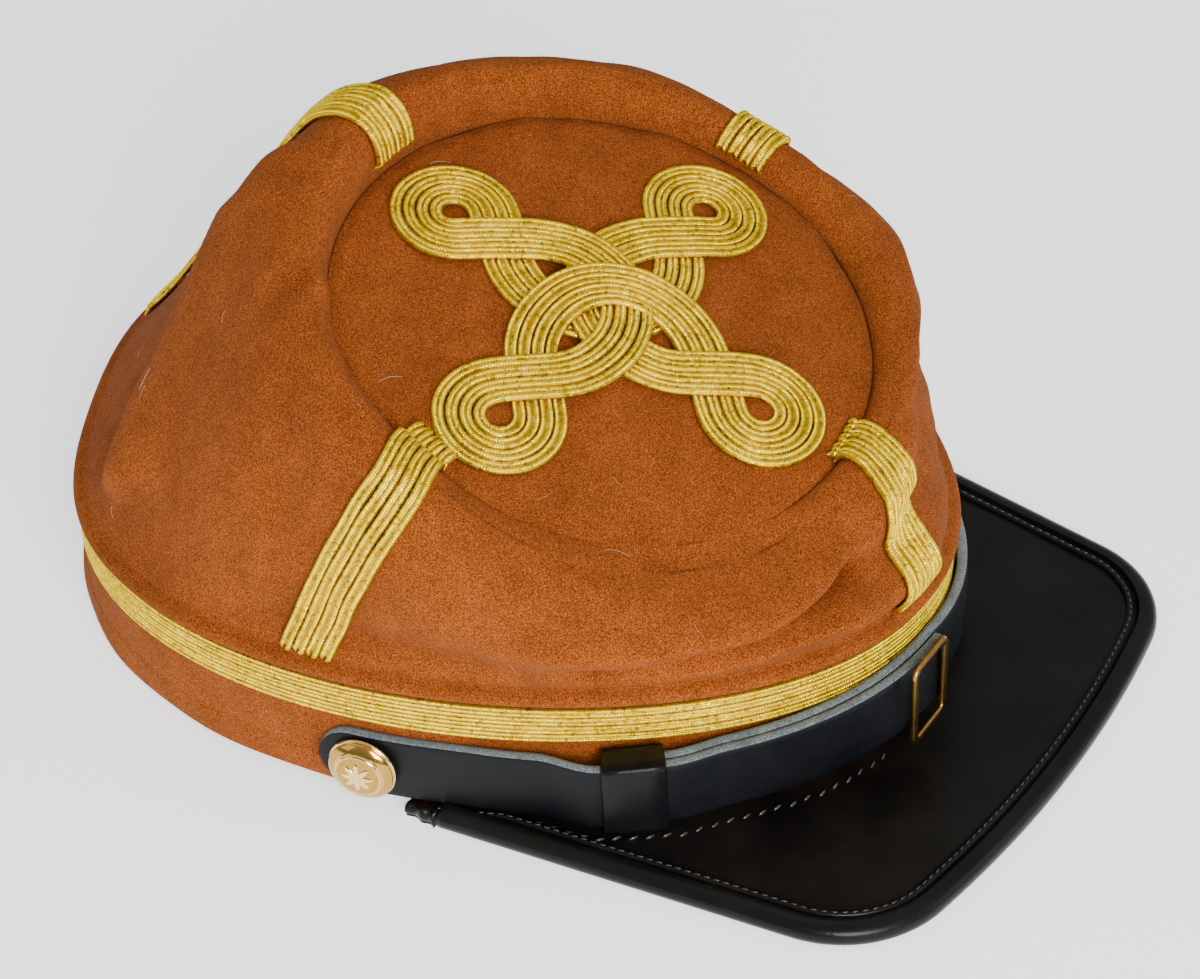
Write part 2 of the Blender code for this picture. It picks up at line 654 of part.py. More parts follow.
def make_peak_tuck(name, side):
    """Return the gathered end of the binding, which tapers away along the band behind the peak's root."""
    root_x, root_y = peak_outline()[0][-1]
    start = root_y + BINDING_WIDTH * math.sin(math.radians(PEAK_SIDE_SPREAD)) + GAP
    tuck = ring(PEAK_TUCK_AZIMUTH, GAP, 0.0)
    sections = []
    for pleat, share in enumerate(TUCK_HEIGHTS):
        along = pleat / (len(TUCK_HEIGHTS) - 1)
        y = start + along * (tuck[1] - start)
        inner_x = band_half_width(y) + 2 * GAP
        outer_x = root_x + along * (tuck[0] + 0.5 * BINDING_WIDTH - root_x)
        top = BINDING_TOP * share
        row = [(inner_x, 0.0), (outer_x - 0.15 * top, 0.0), (outer_x, 0.3 * top), (outer_x, 0.7 * top)]
        row += [(outer_x - 0.3 * top, top), (inner_x, top)]
        sections.append([(side * x, y, z) for x, z in row])
    return swept_solid(name, sections, False)


def smooth_step(value, low, high):
    """Return a smooth rise from 0 at a low value to 1 at a high one."""
    t = np.clip((np.asarray(value, float) - low) / (high - low), 0.0, 1.0)
    return t * t * (3 - 2 * t)


def keeper_spread():
    """Return how many degrees round the band the keeper covers."""
    return ring_azimuth_step(KEEPER_AZIMUTH, KEEPER_WIDTH)


def tail_end():
    """Return the azimuth where a strap's rounded end lies, past its button."""
    return BUTTON_AZIMUTH + ring_azimuth_step(BUTTON_AZIMUTH, STRAP_TAIL)


def strap_middle(azimuth):
    """Return the height of the strap's middle line, which climbs towards the front."""
    share = np.clip(1 - np.abs(azimuth) / BUTTON_AZIMUTH, 0.0, 1.0)
    return STRAP_HEIGHT + STRAP_RISE * share**1.6


def strap_back(azimuth):
    """Return how far the back of the inner strap stands off the band, to clear the braid and the keeper."""
    spread = keeper_spread()
    over_braid = smooth_step(-np.abs(azimuth), STRAP_LIFT_START - BUTTON_AZIMUTH, KEEPER_AZIMUTH - spread)
    over_keeper = 1 - smooth_step(np.abs(azimuth - KEEPER_AZIMUTH), 0.6 * spread, 1.6 * spread)
    return BRAID_GAP + (CORD_THICKNESS + GAP) * over_braid + (KEEPER_THICKNESS + GAP) * over_keeper


def outer_strap_back(azimuth):
    """Return how far the back of the outer strap stands off the band."""
    start = KEEPER_AZIMUTH - keeper_spread() / 2
    over = smooth_step(azimuth, start - keeper_spread(), start)
    return strap_back(azimuth) + (STRAP_THICKNESS + GAP) * over


def strap_solid(name, azimuths, back, first_half_widths):
    """Return a leather strap along the band, whose first stations have half widths of their own."""
    half_widths = np.full(len(azimuths), STRAP_WIDTH / 2)
    half_widths[: len(first_half_widths)] = first_half_widths
    columns = []
    for azimuth, half in zip(azimuths, half_widths):
        middle = strap_middle(azimuth)
        off = back(azimuth)
        columns.append(
            [
                ring(azimuth, off, middle - half),
                ring(azimuth, off + STRAP_THICKNESS, middle - half),
                ring(azimuth, off + STRAP_THICKNESS, middle + half),
                ring(azimuth, off, middle + half),
            ]
        )
    return swept_solid(name, columns, False)


def strap_stations(end, other):
    """Return a strap's stations from its rounded end to its other end, and half widths in the rounding."""
    turns = np.radians(90 * np.arange(TAIL_STEPS) / TAIL_STEPS + 90 / (2 * TAIL_STEPS))
    half = STRAP_WIDTH / 2
    forward = math.copysign(1.0, other - end)
    rounding = forward * ring_azimuth_step(end, half)
    azimuths = end + rounding * (1 - np.cos(turns))
    rest = np.linspace(end + rounding, other, STRAP_STEPS)
    return np.concatenate([azimuths, rest]), half * np.sin(turns)


def make_strap_right():
    """Return the outer strap, from the right button through the keeper to behind the buckle."""
    end = BUCKLE_AZIMUTH + ring_azimuth_step(BUCKLE_AZIMUTH, 0.75 * BUCKLE_WIDTH)
    azimuths, tail = strap_stations(-tail_end(), end)
    return strap_solid("strap_right", azimuths, outer_strap_back, tail)


def make_strap_left():
    """Return the inner strap, from the left button behind the outer strap to the keeper."""
    azimuths, tail = strap_stations(tail_end(), KEEPER_AZIMUTH)
    return strap_solid("strap_left", azimuths, strap_back, tail)


def make_keeper():
    """Return the leather loop that holds both straps together."""
    sections = []
    for azimuth in KEEPER_AZIMUTH + keeper_spread() * np.linspace(-0.5, 0.5, 4):
        back = strap_back(azimuth) - GAP
        face = max(strap_back(azimuth), outer_strap_back(azimuth)) + STRAP_THICKNESS + GAP
        middle = strap_middle(azimuth)
        for grow in (0.0, KEEPER_THICKNESS):
            half = STRAP_WIDTH / 2 + GAP + grow
            corners = [(back - grow, -half), (face + grow, -half), (face + grow, half), (back - grow, half)]
            sections.append([ring(azimuth, out, middle + up) for out, up in corners])
    # Walk round the loop's wall: the inner sections forwards and the outer ones back
    walls = sections[0::2] + sections[1::2][::-1]
    return swept_solid("strap_keeper", walls, True)


def make_buckle():
    """Return the flat stamped frame in front of the strap."""
    reach = outer_strap_back(BUCKLE_AZIMUTH) + STRAP_THICKNESS + GAP
    centre = ring(BUCKLE_AZIMUTH, reach, strap_middle(BUCKLE_AZIMUTH))
    outward = ring(BUCKLE_AZIMUTH, 1.0, 0.0) - ring(BUCKLE_AZIMUTH, 0.0, 0.0)
    upward = np.array([0.0, 0.0, 1.0])
    sideways = np.cross(upward, outward)
    sections = []
    for quarter, (side, up) in enumerate(((1, 1), (-1, 1), (-1, -1), (1, -1))):
        for step in range(BUCKLE_CORNER_STEPS + 1):
            turn = math.radians(90 * (quarter + step / BUCKLE_CORNER_STEPS))
            row = []
            for inset, depth in ((0.0, 1.0), (0.0, 0.0), (BUCKLE_BAR, 0.0), (BUCKLE_BAR, 1.0)):
                radius = max(BUCKLE_CORNER - inset, 0.25 * BUCKLE_CORNER)
                x = side * (BUCKLE_WIDTH / 2 - inset - radius) + radius * math.cos(turn)
                z = up * (BUCKLE_HEIGHT / 2 - inset - radius) + radius * math.sin(turn)
                row.append(centre + x * sideways + z * upward + depth * BUCKLE_THICKNESS * outward)
            sections.append(row)
    return swept_solid("strap_buckle", sections, True)


def make_button(name, side):
    """Return a domed brass button that fastens the strap's end."""
    azimuth = side * BUTTON_AZIMUTH
    seat = ring(azimuth, strap_back(azimuth) + STRAP_THICKNESS + GAP, strap_middle(azimuth))
    outward = ring(azimuth, 1.0, 0.0) - ring(azimuth, 0.0, 0.0)
    upward = np.array([0.0, 0.0, 1.0])
    sideways = np.cross(upward, outward)
    radius = BUTTON_DIAMETER / 2
    profile = [(0.62 * radius, 0.0), (radius, 0.5 * BUTTON_RIM)]
    for step in range(BUTTON_RINGS):
        turn = math.pi / 2 * step / BUTTON_RINGS
        profile.append((radius * math.cos(turn), BUTTON_RIM + BUTTON_DOME * math.sin(turn)))
    points = []
    for distance, height in profile:
        for i in range(BUTTON_SIDES):
            turn = 2 * math.pi * i / BUTTON_SIDES
            spoke = math.cos(turn) * sideways + math.sin(turn) * upward
            points.append(seat + height * outward + distance * spoke)
    faces = grid_faces(len(profile), BUTTON_SIDES, False, True)
    # Close the flat back and the top of the dome
    last = len(points) - BUTTON_SIDES
    points += [seat, seat + (BUTTON_RIM + BUTTON_DOME) * outward]
    for i in range(BUTTON_SIDES):
        j = (i + 1) % BUTTON_SIDES
        faces.append((len(points) - 2, i, j))
        faces.append((len(points) - 1, last + i, last + j))
    return solid(name, points, faces)


def place_on_ground(cap, peak):
    """Lean the cap back from its level peak onto the back of the band, over the middle of its own box."""
    lean = Matrix.Rotation(-math.asin(FRONT_LIFT / HEAD_LENGTH), 4, "X")
    heel = Matrix.Translation((0.0, HEAD_LENGTH / 2, 0.0))
    for piece in cap:
        piece.matrix_world = heel @ lean @ heel.inverted()
    pieces = cap + peak
    corners = np.array([piece.matrix_world @ vertex.co for piece in pieces for vertex in piece.data.vertices])
    middle = (corners.min(0) + corners.max(0)) / 2
    for piece in pieces:
        piece.location -= Vector((middle[0], middle[1], 0.0))
    bpy.context.view_layer.update()


def main():
    """Build the cap's pieces, and set them on the ground."""
    for leftover in list(bpy.data.objects):
        bpy.data.objects.remove(leftover)
    wool = material("wool", (0.38, 0.10, 0.03), 0.95)
    gold = material("gold_braid", (0.62, 0.45, 0.03), 0.45, 0.6)
    peak_leather = material("peak_leather", (0.012, 0.011, 0.011), 0.35)
    strap_leather = material("strap_leather", (0.016, 0.020, 0.026), 0.45)
    brass = material("polished_brass", (0.80, 0.58, 0.22), 0.2, 1.0)
    bronze = material("dark_brass", (0.18, 0.09, 0.02), 0.35, 1.0)
    cap = [
        add_object("crown_side", make_crown_side(), wool),
        add_object("crown_top", make_crown_top(), wool),
        add_object("band", make_band(), wool),
        add_object("band_braid", make_band_braid(), gold),
        add_object("top_knot", make_top_knot(), gold),
        add_object("strap_right", make_strap_right(), strap_leather),
        add_object("strap_left", make_strap_left(), strap_leather),
        add_object("strap_keeper", make_keeper(), strap_leather),
        add_object("strap_buckle", make_buckle(), bronze),
    ]
    for braid in WALL_BRAIDS:
        mesh = make_wall_braid(braid["name"], braid["top"], braid["foot"])
        cap.append(add_object(braid["name"], mesh, gold))
    peak = [
        add_object("peak", make_peak(), peak_leather),
        add_object("peak_binding", make_peak_binding(), peak_leather),
    ]
    for side_name, side in (("left", 1.0), ("right", -1.0)):
        button = f"button_{side_name}"
        tuck = f"binding_tuck_{side_name}"
        cap.append(add_object(button, make_button(button, side), brass))
        peak.append(add_object(tuck, make_peak_tuck(tuck, side), peak_leather))
    place_on_ground(cap, peak)


main()
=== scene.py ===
"""The looks of the kepi: wool, gold braid, leather, brass and a plain studio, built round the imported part.

Every piece is modelled in the cap's own frame, in metres: the origin at the centre of the head opening, the
peak towards -Y and the wearer's left towards +X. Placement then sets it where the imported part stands.
Azimuths run from the front (0) past the wearer's left (90) and the back (180), in degrees.
"""

from __future__ import annotations

import json
import logging
import math
from dataclasses import dataclass, field
from enum import Enum
from typing import Any, Callable, Sequence

import bmesh
import bpy
import numpy as np
from mathutils import Matrix, Vector

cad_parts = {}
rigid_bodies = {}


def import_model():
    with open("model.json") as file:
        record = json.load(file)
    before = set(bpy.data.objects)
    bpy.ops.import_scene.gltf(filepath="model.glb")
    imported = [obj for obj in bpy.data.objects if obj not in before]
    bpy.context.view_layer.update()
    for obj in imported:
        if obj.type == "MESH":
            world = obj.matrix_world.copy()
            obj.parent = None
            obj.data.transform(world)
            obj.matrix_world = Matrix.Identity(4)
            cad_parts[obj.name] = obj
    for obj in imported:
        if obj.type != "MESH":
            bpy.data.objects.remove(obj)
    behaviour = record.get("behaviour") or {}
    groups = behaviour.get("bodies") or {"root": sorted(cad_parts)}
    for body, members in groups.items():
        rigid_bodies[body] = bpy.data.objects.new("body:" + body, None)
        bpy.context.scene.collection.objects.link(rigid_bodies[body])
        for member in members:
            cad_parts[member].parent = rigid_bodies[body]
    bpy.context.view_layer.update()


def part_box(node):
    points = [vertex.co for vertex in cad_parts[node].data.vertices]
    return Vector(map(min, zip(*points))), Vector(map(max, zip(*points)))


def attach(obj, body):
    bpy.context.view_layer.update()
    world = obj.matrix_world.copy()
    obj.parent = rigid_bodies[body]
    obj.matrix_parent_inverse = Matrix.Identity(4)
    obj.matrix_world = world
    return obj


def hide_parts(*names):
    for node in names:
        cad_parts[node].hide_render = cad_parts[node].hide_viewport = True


LOG = logging.getLogger("kepi")
BODY = "root"
GAP = 0.0003
PHOTO_WIDTH, PHOTO_HEIGHT = 1200, 979
Array = np.ndarray


class Slot(Enum):
    """The record's material slots."""

    WOOL = "wool"
    GOLD = "gold_braid"
    PEAK = "peak_leather"
    STRAP = "strap_leather"
    BRASS = "polished_brass"
    BRONZE = "dark_brass"


# The crown's wall at each azimuth, as in the part: shares of the crown's named lengths
CROWN_SECTIONS = (
    {"azimuth": 0, "rise": 0.3, "belly": 0.8, "shoulder": 0.55, "roll": 0.50, "reach": 1.00, "drop": 0.3},
    {"azimuth": 25, "rise": 0.3, "belly": 0.2, "shoulder": 0.30, "roll": 0.65, "reach": 1.05, "drop": 0.2},
    {"azimuth": 45, "rise": 0.2, "belly": 0.1, "shoulder": 0.45, "roll": 0.80, "reach": 1.30, "drop": 0.2},
    {"azimuth": 65, "rise": 0.2, "belly": 0.2, "shoulder": 0.60, "roll": 0.95, "reach": 1.30, "drop": 0.2},
    {"azimuth": 90, "rise": 0.2, "belly": 0.3, "shoulder": 0.45, "roll": 0.95, "reach": 1.00, "drop": 0.2},
    {"azimuth": 120, "rise": 0.2, "belly": 0.2, "shoulder": 0.60, "roll": 1.45, "reach": 1.05, "drop": 0.2},
    {"azimuth": 145, "rise": 0.0, "belly": 0.0, "shoulder": 0.60, "roll": 1.65, "reach": 1.05, "drop": 0.2},
    {"azimuth": 160, "rise": 0.0, "belly": 0.0, "shoulder": 0.60, "roll": 2.05, "reach": 1.00, "drop": 0.2},
    {"azimuth": 175, "rise": 0.0, "belly": -0.2, "shoulder": 0.95, "roll": 1.95, "reach": 1.15, "drop": 0.2},
    {"azimuth": 190, "rise": 0.0, "belly": -0.3, "shoulder": 1.10, "roll": 1.75, "reach": 1.15, "drop": 0.2},
    {"azimuth": 210, "rise": 0.0, "belly": 0.0, "shoulder": 0.80, "roll": 1.30, "reach": 1.00, "drop": 0.2},
    {"azimuth": 240, "rise": 0.0, "belly": 0.3, "shoulder": 0.60, "roll": 1.00, "reach": 1.00, "drop": 0.2},
    {"azimuth": 265, "rise": 0.1, "belly": 0.4, "shoulder": 0.55, "roll": 0.80, "reach": 1.00, "drop": 0.2},
    {"azimuth": 290, "rise": 0.2, "belly": 0.6, "shoulder": 0.70, "roll": 0.10, "reach": 1.00, "drop": 0.7},
    {"azimuth": 310, "rise": 0.3, "belly": 0.9, "shoulder": 0.75, "roll": -0.15, "reach": 1.00, "drop": 1.0},
    {"azimuth": 335, "rise": 0.3, "belly": 1.0, "shoulder": 0.70, "roll": -0.10, "reach": 1.00, "drop": 0.9},
)

# The part's folds, and below them the shallow ones that only the cloth shows
CROWN_FOLDS = (
    {"name": "back ridge", "from": (193, 0.80), "to": (231, 0.22), "depth": 0.9, "width": 0.7},
    {"name": "back dent", "from": (184, 0.55), "to": (210, 0.25), "depth": -0.8, "width": 1.3},
    {"name": "front crease", "from": (347, 0.55), "to": (316, 0.12), "depth": -0.5, "width": 0.6},
    {"name": "front pinch", "from": (354, 0.40), "to": (38, 0.55), "depth": -0.9, "width": 1.0},
    {"name": "front bulge", "from": (345, 0.20), "to": (5, 0.20), "depth": 0.5, "width": 0.8},
)
CLOTH_CREASES = (
    {"name": "low front crease", "from": (345, 0.52), "to": (308, 0.14), "depth": -0.62, "width": 0.55},
    {"name": "roll over it", "from": (340, 0.72), "to": (300, 0.36), "depth": 0.50, "width": 0.80},
    {"name": "roll under it", "from": (336, 0.26), "to": (304, 0.10), "depth": 0.34, "width": 0.60},
    {"name": "side drag", "from": (306, 0.20), "to": (266, 0.14), "depth": -0.30, "width": 0.55},
    {"name": "ridge edge", "from": (200, 0.66), "to": (231, 0.20), "depth": 0.32, "width": 0.30},
    {"name": "valley beside it", "from": (190, 0.66), "to": (223, 0.20), "depth": -0.34, "width": 0.60},
    {"name": "rim dimple", "from": (221, 0.98), "to": (223, 0.90), "depth": -0.30, "width": 0.50},
    {"name": "back tuck", "from": (236, 0.20), "to": (246, 0.05), "depth": -0.12, "width": 0.40},
)

# Soft waves of the cloth: how many round the cap and up the wall, where they start, and how deep they are
CLOTH_WAVES = (
    {"around": 7, "up": 1.3, "start": 0.4, "depth": 0.00045},
    {"around": 13, "up": 2.1, "start": 1.9, "depth": 0.00030},
    {"around": 23, "up": 3.7, "start": 3.1, "depth": 0.00016},
    {"around": 41, "up": 5.3, "start": 0.9, "depth": 0.00008},
)

# Where each run of braid ends, as azimuths, as a share of the rim, and how far it lies on the round top
WALL_BRAIDS = (
    {"node": "braid_front", "top": 7.0, "foot": -3.0, "end": 1.97, "onto_top": 0.0025},
    {"node": "braid_left", "top": 93.0, "foot": 90.0, "end": 1.80, "onto_top": 0.0},
    {"node": "braid_back", "top": 177.0, "foot": 180.0, "end": 1.80, "onto_top": 0.0},
    {"node": "braid_right", "top": 263.5, "foot": 273.0, "end": 1.97, "onto_top": 0.0065},
)

# How the knot's quarters lie over each other, in layers, at shares of the way from their middles to the loops
KNOT_STOPS = (0.0, 0.12, 0.20, 0.29, 0.37, 0.45, 0.63, 0.80, 1.0)
KNOT_QUARTERS = (
    {"opens": "right", "layers": (1.0, 1.0, 1.0, 0.8, 0.6, 1.0, 1.0, 0.0, 0.0)},
    {"opens": "down", "layers": (3.0, 2.7, 1.8, 1.1, 0.4, 0.0, 0.0, 0.0, 0.0)},
    {"opens": "left", "layers": (2.0, 2.0, 2.0, 1.7, 1.1, 1.0, 1.0, 0.0, 0.0)},
    {"opens": "up", "layers": (0.0, 0.0, 0.0, 0.0, 0.0, 0.0, 0.0, 0.0, 0.0)},
)


def across(rows: Sequence[dict[str, Any]], column: str, azimuth: Array) -> Array:
    """Read a table's column as a smooth curve that closes on itself.

    Args:
        rows: The table, whose rows each have an azimuth.
        column: The column to read.
        azimuth: Where to read it, in degrees.

    Returns:
        The column's value at each azimuth.
    """
    places = np.array([row["azimuth"] for row in rows], float)
    values = np.array([row[column] for row in rows], float)
    places = np.concatenate([places[-2:] - 360, places, places[:2] + 360])
    values = np.concatenate([values[-2:], values, values[:2]])
    slopes = np.gradient(values, places)
    turned = np.mod(azimuth, 360.0)
    i = np.clip(np.searchsorted(places, turned, side="right") - 1, 0, len(places) - 2)
    span = places[i + 1] - places[i]
    t = (turned - places[i]) / span
    return (
        (2 * t**3 - 3 * t**2 + 1) * values[i]
        + (t**3 - 2 * t**2 + t) * span * slopes[i]
        + (3 * t**2 - 2 * t**3) * values[i + 1]
        + (t**3 - t**2) * span * slopes[i + 1]
    )


def bump(distance: Array, width: float) -> Array:
    """Return a smooth bump that is 1 at 0 and fades over a width."""
    return np.exp(-((distance / width) ** 2))


def smooth_step(value: Array, low: float, high: float) -> Array:
    """Return a smooth rise from 0 at a low value to 1 at a high one."""
    t = np.clip((np.asarray(value, float) - low) / (high - low), 0.0, 1.0)
    return t * t * (3 - 2 * t)


def unit(vectors: Array) -> Array:
    """Return vectors with a length of 1."""
    return vectors / np.maximum(np.linalg.norm(vectors, axis=-1, keepdims=True), 1e-12)


def resampled(points: Array, step: float, closed: bool) -> Array:
    """Return a line's points again at an even spacing.

    Args:
        points: The line's points.
        step: The spacing wanted, in metres.
        closed: True if the line closes on itself.

    Returns:
        The new points, without the first one again at the end of a closed line.
    """
    line = np.vstack([points, points[:1]]) if closed else points
    lengths = np.concatenate([[0.0], np.cumsum(np.linalg.norm(np.diff(line, axis=0), axis=1))])
    count = max(int(round(lengths[-1] / step)), 3)
    places = np.linspace(0.0, lengths[-1], count + 1)
    if closed:
        places = places[:-1]
    return np.stack([np.interp(places, lengths, line[:, k]) for k in range(line.shape[1])], 1)


def linked(name: str, data: Any) -> bpy.types.Object:
    """Make an object of some data and link it to the scene."""
    made = bpy.data.objects.new(name, data)
    bpy.context.collection.objects.link(made)
    return made


@dataclass(frozen=True)
class Placement:
    """Where the cap stands: leant back from its level peak onto the back of its band."""

    heel: float = 0.103
    front_lift: float = 0.0036
    front: float = 0.140

    def shift(self) -> Array:
        """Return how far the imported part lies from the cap's own frame, read from its peak."""
        low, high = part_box("peak_binding")
        return np.array([(low.x + high.x) / 2, low.y + self.front, 0.0])

    def level(self, points: Array) -> Array:
        """Place the points of a piece of the peak, which lies level."""
        return np.asarray(points, float) + self.shift()

    def leant(self, points: Array) -> Array:
        """Place the points of any other piece, which leans back."""
        angle = -math.asin(self.front_lift / (2 * self.heel))
        turn = np.array(Matrix.Rotation(angle, 3, "X"))
        heel = np.array([0.0, self.heel, 0.0])
        return (np.asarray(points, float) - heel) @ turn.T + heel + self.shift()


class Builder:
    """Turns points into finished pieces that ride on the part."""

    def __init__(self, placement: Placement) -> None:
        """Keep where the cap stands."""
        self.placement = placement

    def grid(
        self,
        name: str,
        points: Array,
        close_rows: bool = False,
        close_columns: bool = True,
        capped: bool = True,
        level: bool = False,
        poles: Sequence[Array | None] = (None, None),
    ) -> bpy.types.Object:
        """Make a closed piece from a grid of points.

        Args:
            name: The piece's name.
            points: The grid, rows by columns, in the cap's own frame.
            close_rows: True if the last row joins the first one.
            close_columns: True if the last column joins the first one.
            capped: True if open first and last rows are filled with a face.
            level: True for a piece of the peak.
            poles: A point that closes the first column and one for the last column, for a revolved piece.

        Returns:
            The piece, with a UV map in metres.
        """
        rows, columns = points.shape[:2]
        place = self.placement.level if level else self.placement.leant
        flat = list(map(tuple, place(points.reshape(-1, 3))))
        i, j = np.meshgrid(
            np.arange(rows if close_rows else rows - 1),
            np.arange(columns if close_columns else columns - 1),
            indexing="ij",
        )
        corners = [(i, j), (i + 1, j), (i + 1, j + 1), (i, j + 1)]
        quads = np.stack([(a % rows) * columns + b % columns for a, b in corners], -1).reshape(-1, 4)
        along = np.linalg.norm(np.diff(points[:, :1], axis=0), axis=-1).ravel()
        over = np.linalg.norm(np.diff(points[:1], axis=1), axis=-1).ravel()
        u = np.concatenate([[0.0], np.cumsum(along)])
        v = np.concatenate([[0.0], np.cumsum(over)])
        u = np.append(u, 2 * u[-1] - u[-2])
        v = np.append(v, 2 * v[-1] - v[-2])
        uvs = np.stack([np.stack([u[a], v[b]], -1) for a, b in corners], -2).reshape(-1, 2)
        faces = quads.tolist()
        extra = []
        if not close_rows and capped:
            extra += [list(range(columns)), list(range((rows - 1) * columns, rows * columns))]
        for pole, column in zip(poles, (0, columns - 1)):
            if pole is not None:
                flat.append(tuple(place(pole)))
                for row in range(rows):
                    nxt = (row + 1) % rows
                    extra.append([len(flat) - 1, row * columns + column, nxt * columns + column])
        mesh = bpy.data.meshes.new(name)
        mesh.from_pydata(flat, [], faces + extra)
        layer = mesh.uv_layers.new(name="UVMap")
        padding = np.zeros((len(mesh.loops) - len(uvs), 2))
        layer.data.foreach_set("uv", np.vstack([uvs, padding]).astype(np.float32).ravel())
        self.face_outwards(mesh)
        mesh.shade_smooth()
        return linked(name, mesh)

    @staticmethod
    def face_outwards(mesh: bpy.types.Mesh) -> None:
        """Turn a closed mesh's faces outwards."""
        work = bmesh.new()
        work.from_mesh(mesh)
        bmesh.ops.recalc_face_normals(work, faces=work.faces)
        work.to_mesh(mesh)
        work.free()

    @staticmethod
    def joined(name: str, pieces: Sequence[bpy.types.Object]) -> bpy.types.Object:
        """Join some pieces into one mesh and give it a name."""
        with bpy.context.temp_override(
            active_object=pieces[0],
            object=pieces[0],
            selected_objects=list(pieces),
            selected_editable_objects=list(pieces),
        ):
            bpy.ops.object.join()
        pieces[0].name = name
        pieces[0].data.name = name
        return pieces[0]

    def guide(
        self,
        lines: Sequence[tuple[Array, Array, float, bool]],
        level: bool = False,
    ) -> bpy.types.Object:
        """Return the lines that a recipe follows.

        Args:
            lines: Each line's points, the way up at each, the hand of its threads, and whether it closes.
            level: True for a piece of the peak.

        Returns:
            One object with all the lines.
        """
        place = self.placement.level if level else self.placement.leant
        points, edges, upward, hands = [], [], [], []
        for line, up, hand, closed in lines:
            first, count = len(points), len(line)
            points += list(map(tuple, place(line)))
            upward += list(place(line + up) - place(line))
            hands += [hand] * count
            edges += [(first + k, first + k + 1) for k in range(count - 1)]
            if closed:
                edges.append((first + count - 1, first))
        mesh = bpy.data.meshes.new("guide")
        mesh.from_pydata(points, edges, [])
        layer = mesh.attributes.new("upward", "FLOAT_VECTOR", "POINT")
        layer.data.foreach_set("vector", np.array(upward, np.float32).ravel())
        layer = mesh.attributes.new("hand", "FLOAT", "POINT")
        layer.data.foreach_set("value", np.array(hands, np.float32))
        return linked("guide", mesh)

    def finish(
        self,
        piece: bpy.types.Object,
        slot: Slot,
        materials: Sequence[bpy.types.Material],
        nodes: Sequence[str] = (),
    ) -> bpy.types.Object:
        """Dress a piece and fasten it to the part.

        Args:
            piece: The piece.
            slot: The record's slot for the piece; it is not used.
            materials: Its materials, in the order of its faces' indices. An empty list keeps what it has.
            nodes: The part's nodes that it stands for.

        Returns:
            The same piece.
        """
        for material in materials:
            piece.data.materials.append(material)
        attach(piece, BODY)
        if nodes:
            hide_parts(*nodes)
        LOG.info("%s: %d faces", piece.name, len(piece.data.polygons))
        return piece


class Shader:
    """A material's nodes, with short calls to add and join them."""

    def __init__(self, name: str) -> None:
        """Start a material with its Principled shader."""
        self.material = bpy.data.materials.new(name)
        self.material.use_nodes = True
        self.tree = self.material.node_tree
        self.principled = self.tree.nodes["Principled BSDF"]

    def add(self, kind: str, inputs: dict[str, Any] | None = None, **settings: Any) -> bpy.types.Node:
        """Add a node.

        Args:
            kind: The node's type.
            inputs: Values or other nodes' sockets for its inputs, by name.
            **settings: The node's own settings.

        Returns:
            The node.
        """
        node = self.tree.nodes.new(kind)
        for key, value in settings.items():
            setattr(node, key, value)
        for key, value in (inputs or {}).items():
            self.feed(node.inputs[key], value)
        return node

    def feed(self, socket: bpy.types.NodeSocket, value: Any) -> None:
        """Set a socket, or join another node's socket to it."""
        if isinstance(value, bpy.types.NodeSocket):
            self.tree.links.new(value, socket)
        else:
            socket.default_value = value

    def surface(self, **values: Any) -> None:
        """Set the shader's sockets, whose names have underscores here for their spaces."""
        for key, value in values.items():
            self.feed(self.principled.inputs[key.replace("_", " ").title().replace("Ior", "IOR")], value)

    def objects(self, stretch: Sequence[float] = (1.0, 1.0, 1.0)) -> bpy.types.NodeSocket:
        """Return the object's coordinates, stretched along the axes."""
        coordinates = self.add("ShaderNodeTexCoord").outputs["Object"]
        mapping = self.add("ShaderNodeMapping", {"Vector": coordinates, "Scale": tuple(stretch)})
        return mapping.outputs["Vector"]

    def noise(self, where: bpy.types.NodeSocket, scale: float, detail: float, rough: float = 0.5) -> Any:
        """Return the value of a noise at a scale in cells per metre."""
        node = self.add(
            "ShaderNodeTexNoise",
            {"Vector": where, "Scale": scale, "Detail": detail, "Roughness": rough},
        )
        return node.outputs["Fac"]

    def ramp(self, value: bpy.types.NodeSocket, stops: Sequence[tuple[float, Sequence[float]]]) -> Any:
        """Return a colour for a value, from stops that each give a place and a colour."""
        node = self.add("ShaderNodeValToRGB", {"Fac": value})
        elements = node.color_ramp.elements
        while len(elements) < len(stops):
            elements.new(0.5)
        for element, (place, colour) in zip(elements, stops):
            element.position = place
            element.color = (*colour, 1.0)
        return node.outputs["Color"]

    def grey(self, value: bpy.types.NodeSocket, low: float, high: float, dark: float, light: float) -> Any:
        """Return a value carried from one range to another."""
        node = self.add(
            "ShaderNodeMapRange",
            {"Value": value, "From Min": low, "From Max": high, "To Min": dark, "To Max": light},
        )
        return node.outputs["Result"]

    def mix(self, how: str, share: Any, first: Any, second: Any) -> Any:
        """Return two colours mixed in a way and by a share."""
        node = self.add("ShaderNodeMix", data_type="RGBA", blend_type=how)
        self.feed(node.inputs[0], share)
        self.feed(node.inputs[6], first)
        self.feed(node.inputs[7], second)
        return node.outputs[2]

    def bumps(self, layers: Sequence[tuple[Any, float, float]]) -> None:
        """Roughen the surface by layers, each a height, a strength and a depth in metres."""
        normal = None
        for height, strength, depth in layers:
            inputs = {"Height": height, "Strength": strength, "Distance": depth}
            if normal is not None:
                inputs["Normal"] = normal
            normal = self.add("ShaderNodeBump", inputs).outputs["Normal"]
        self.surface(Normal=normal)


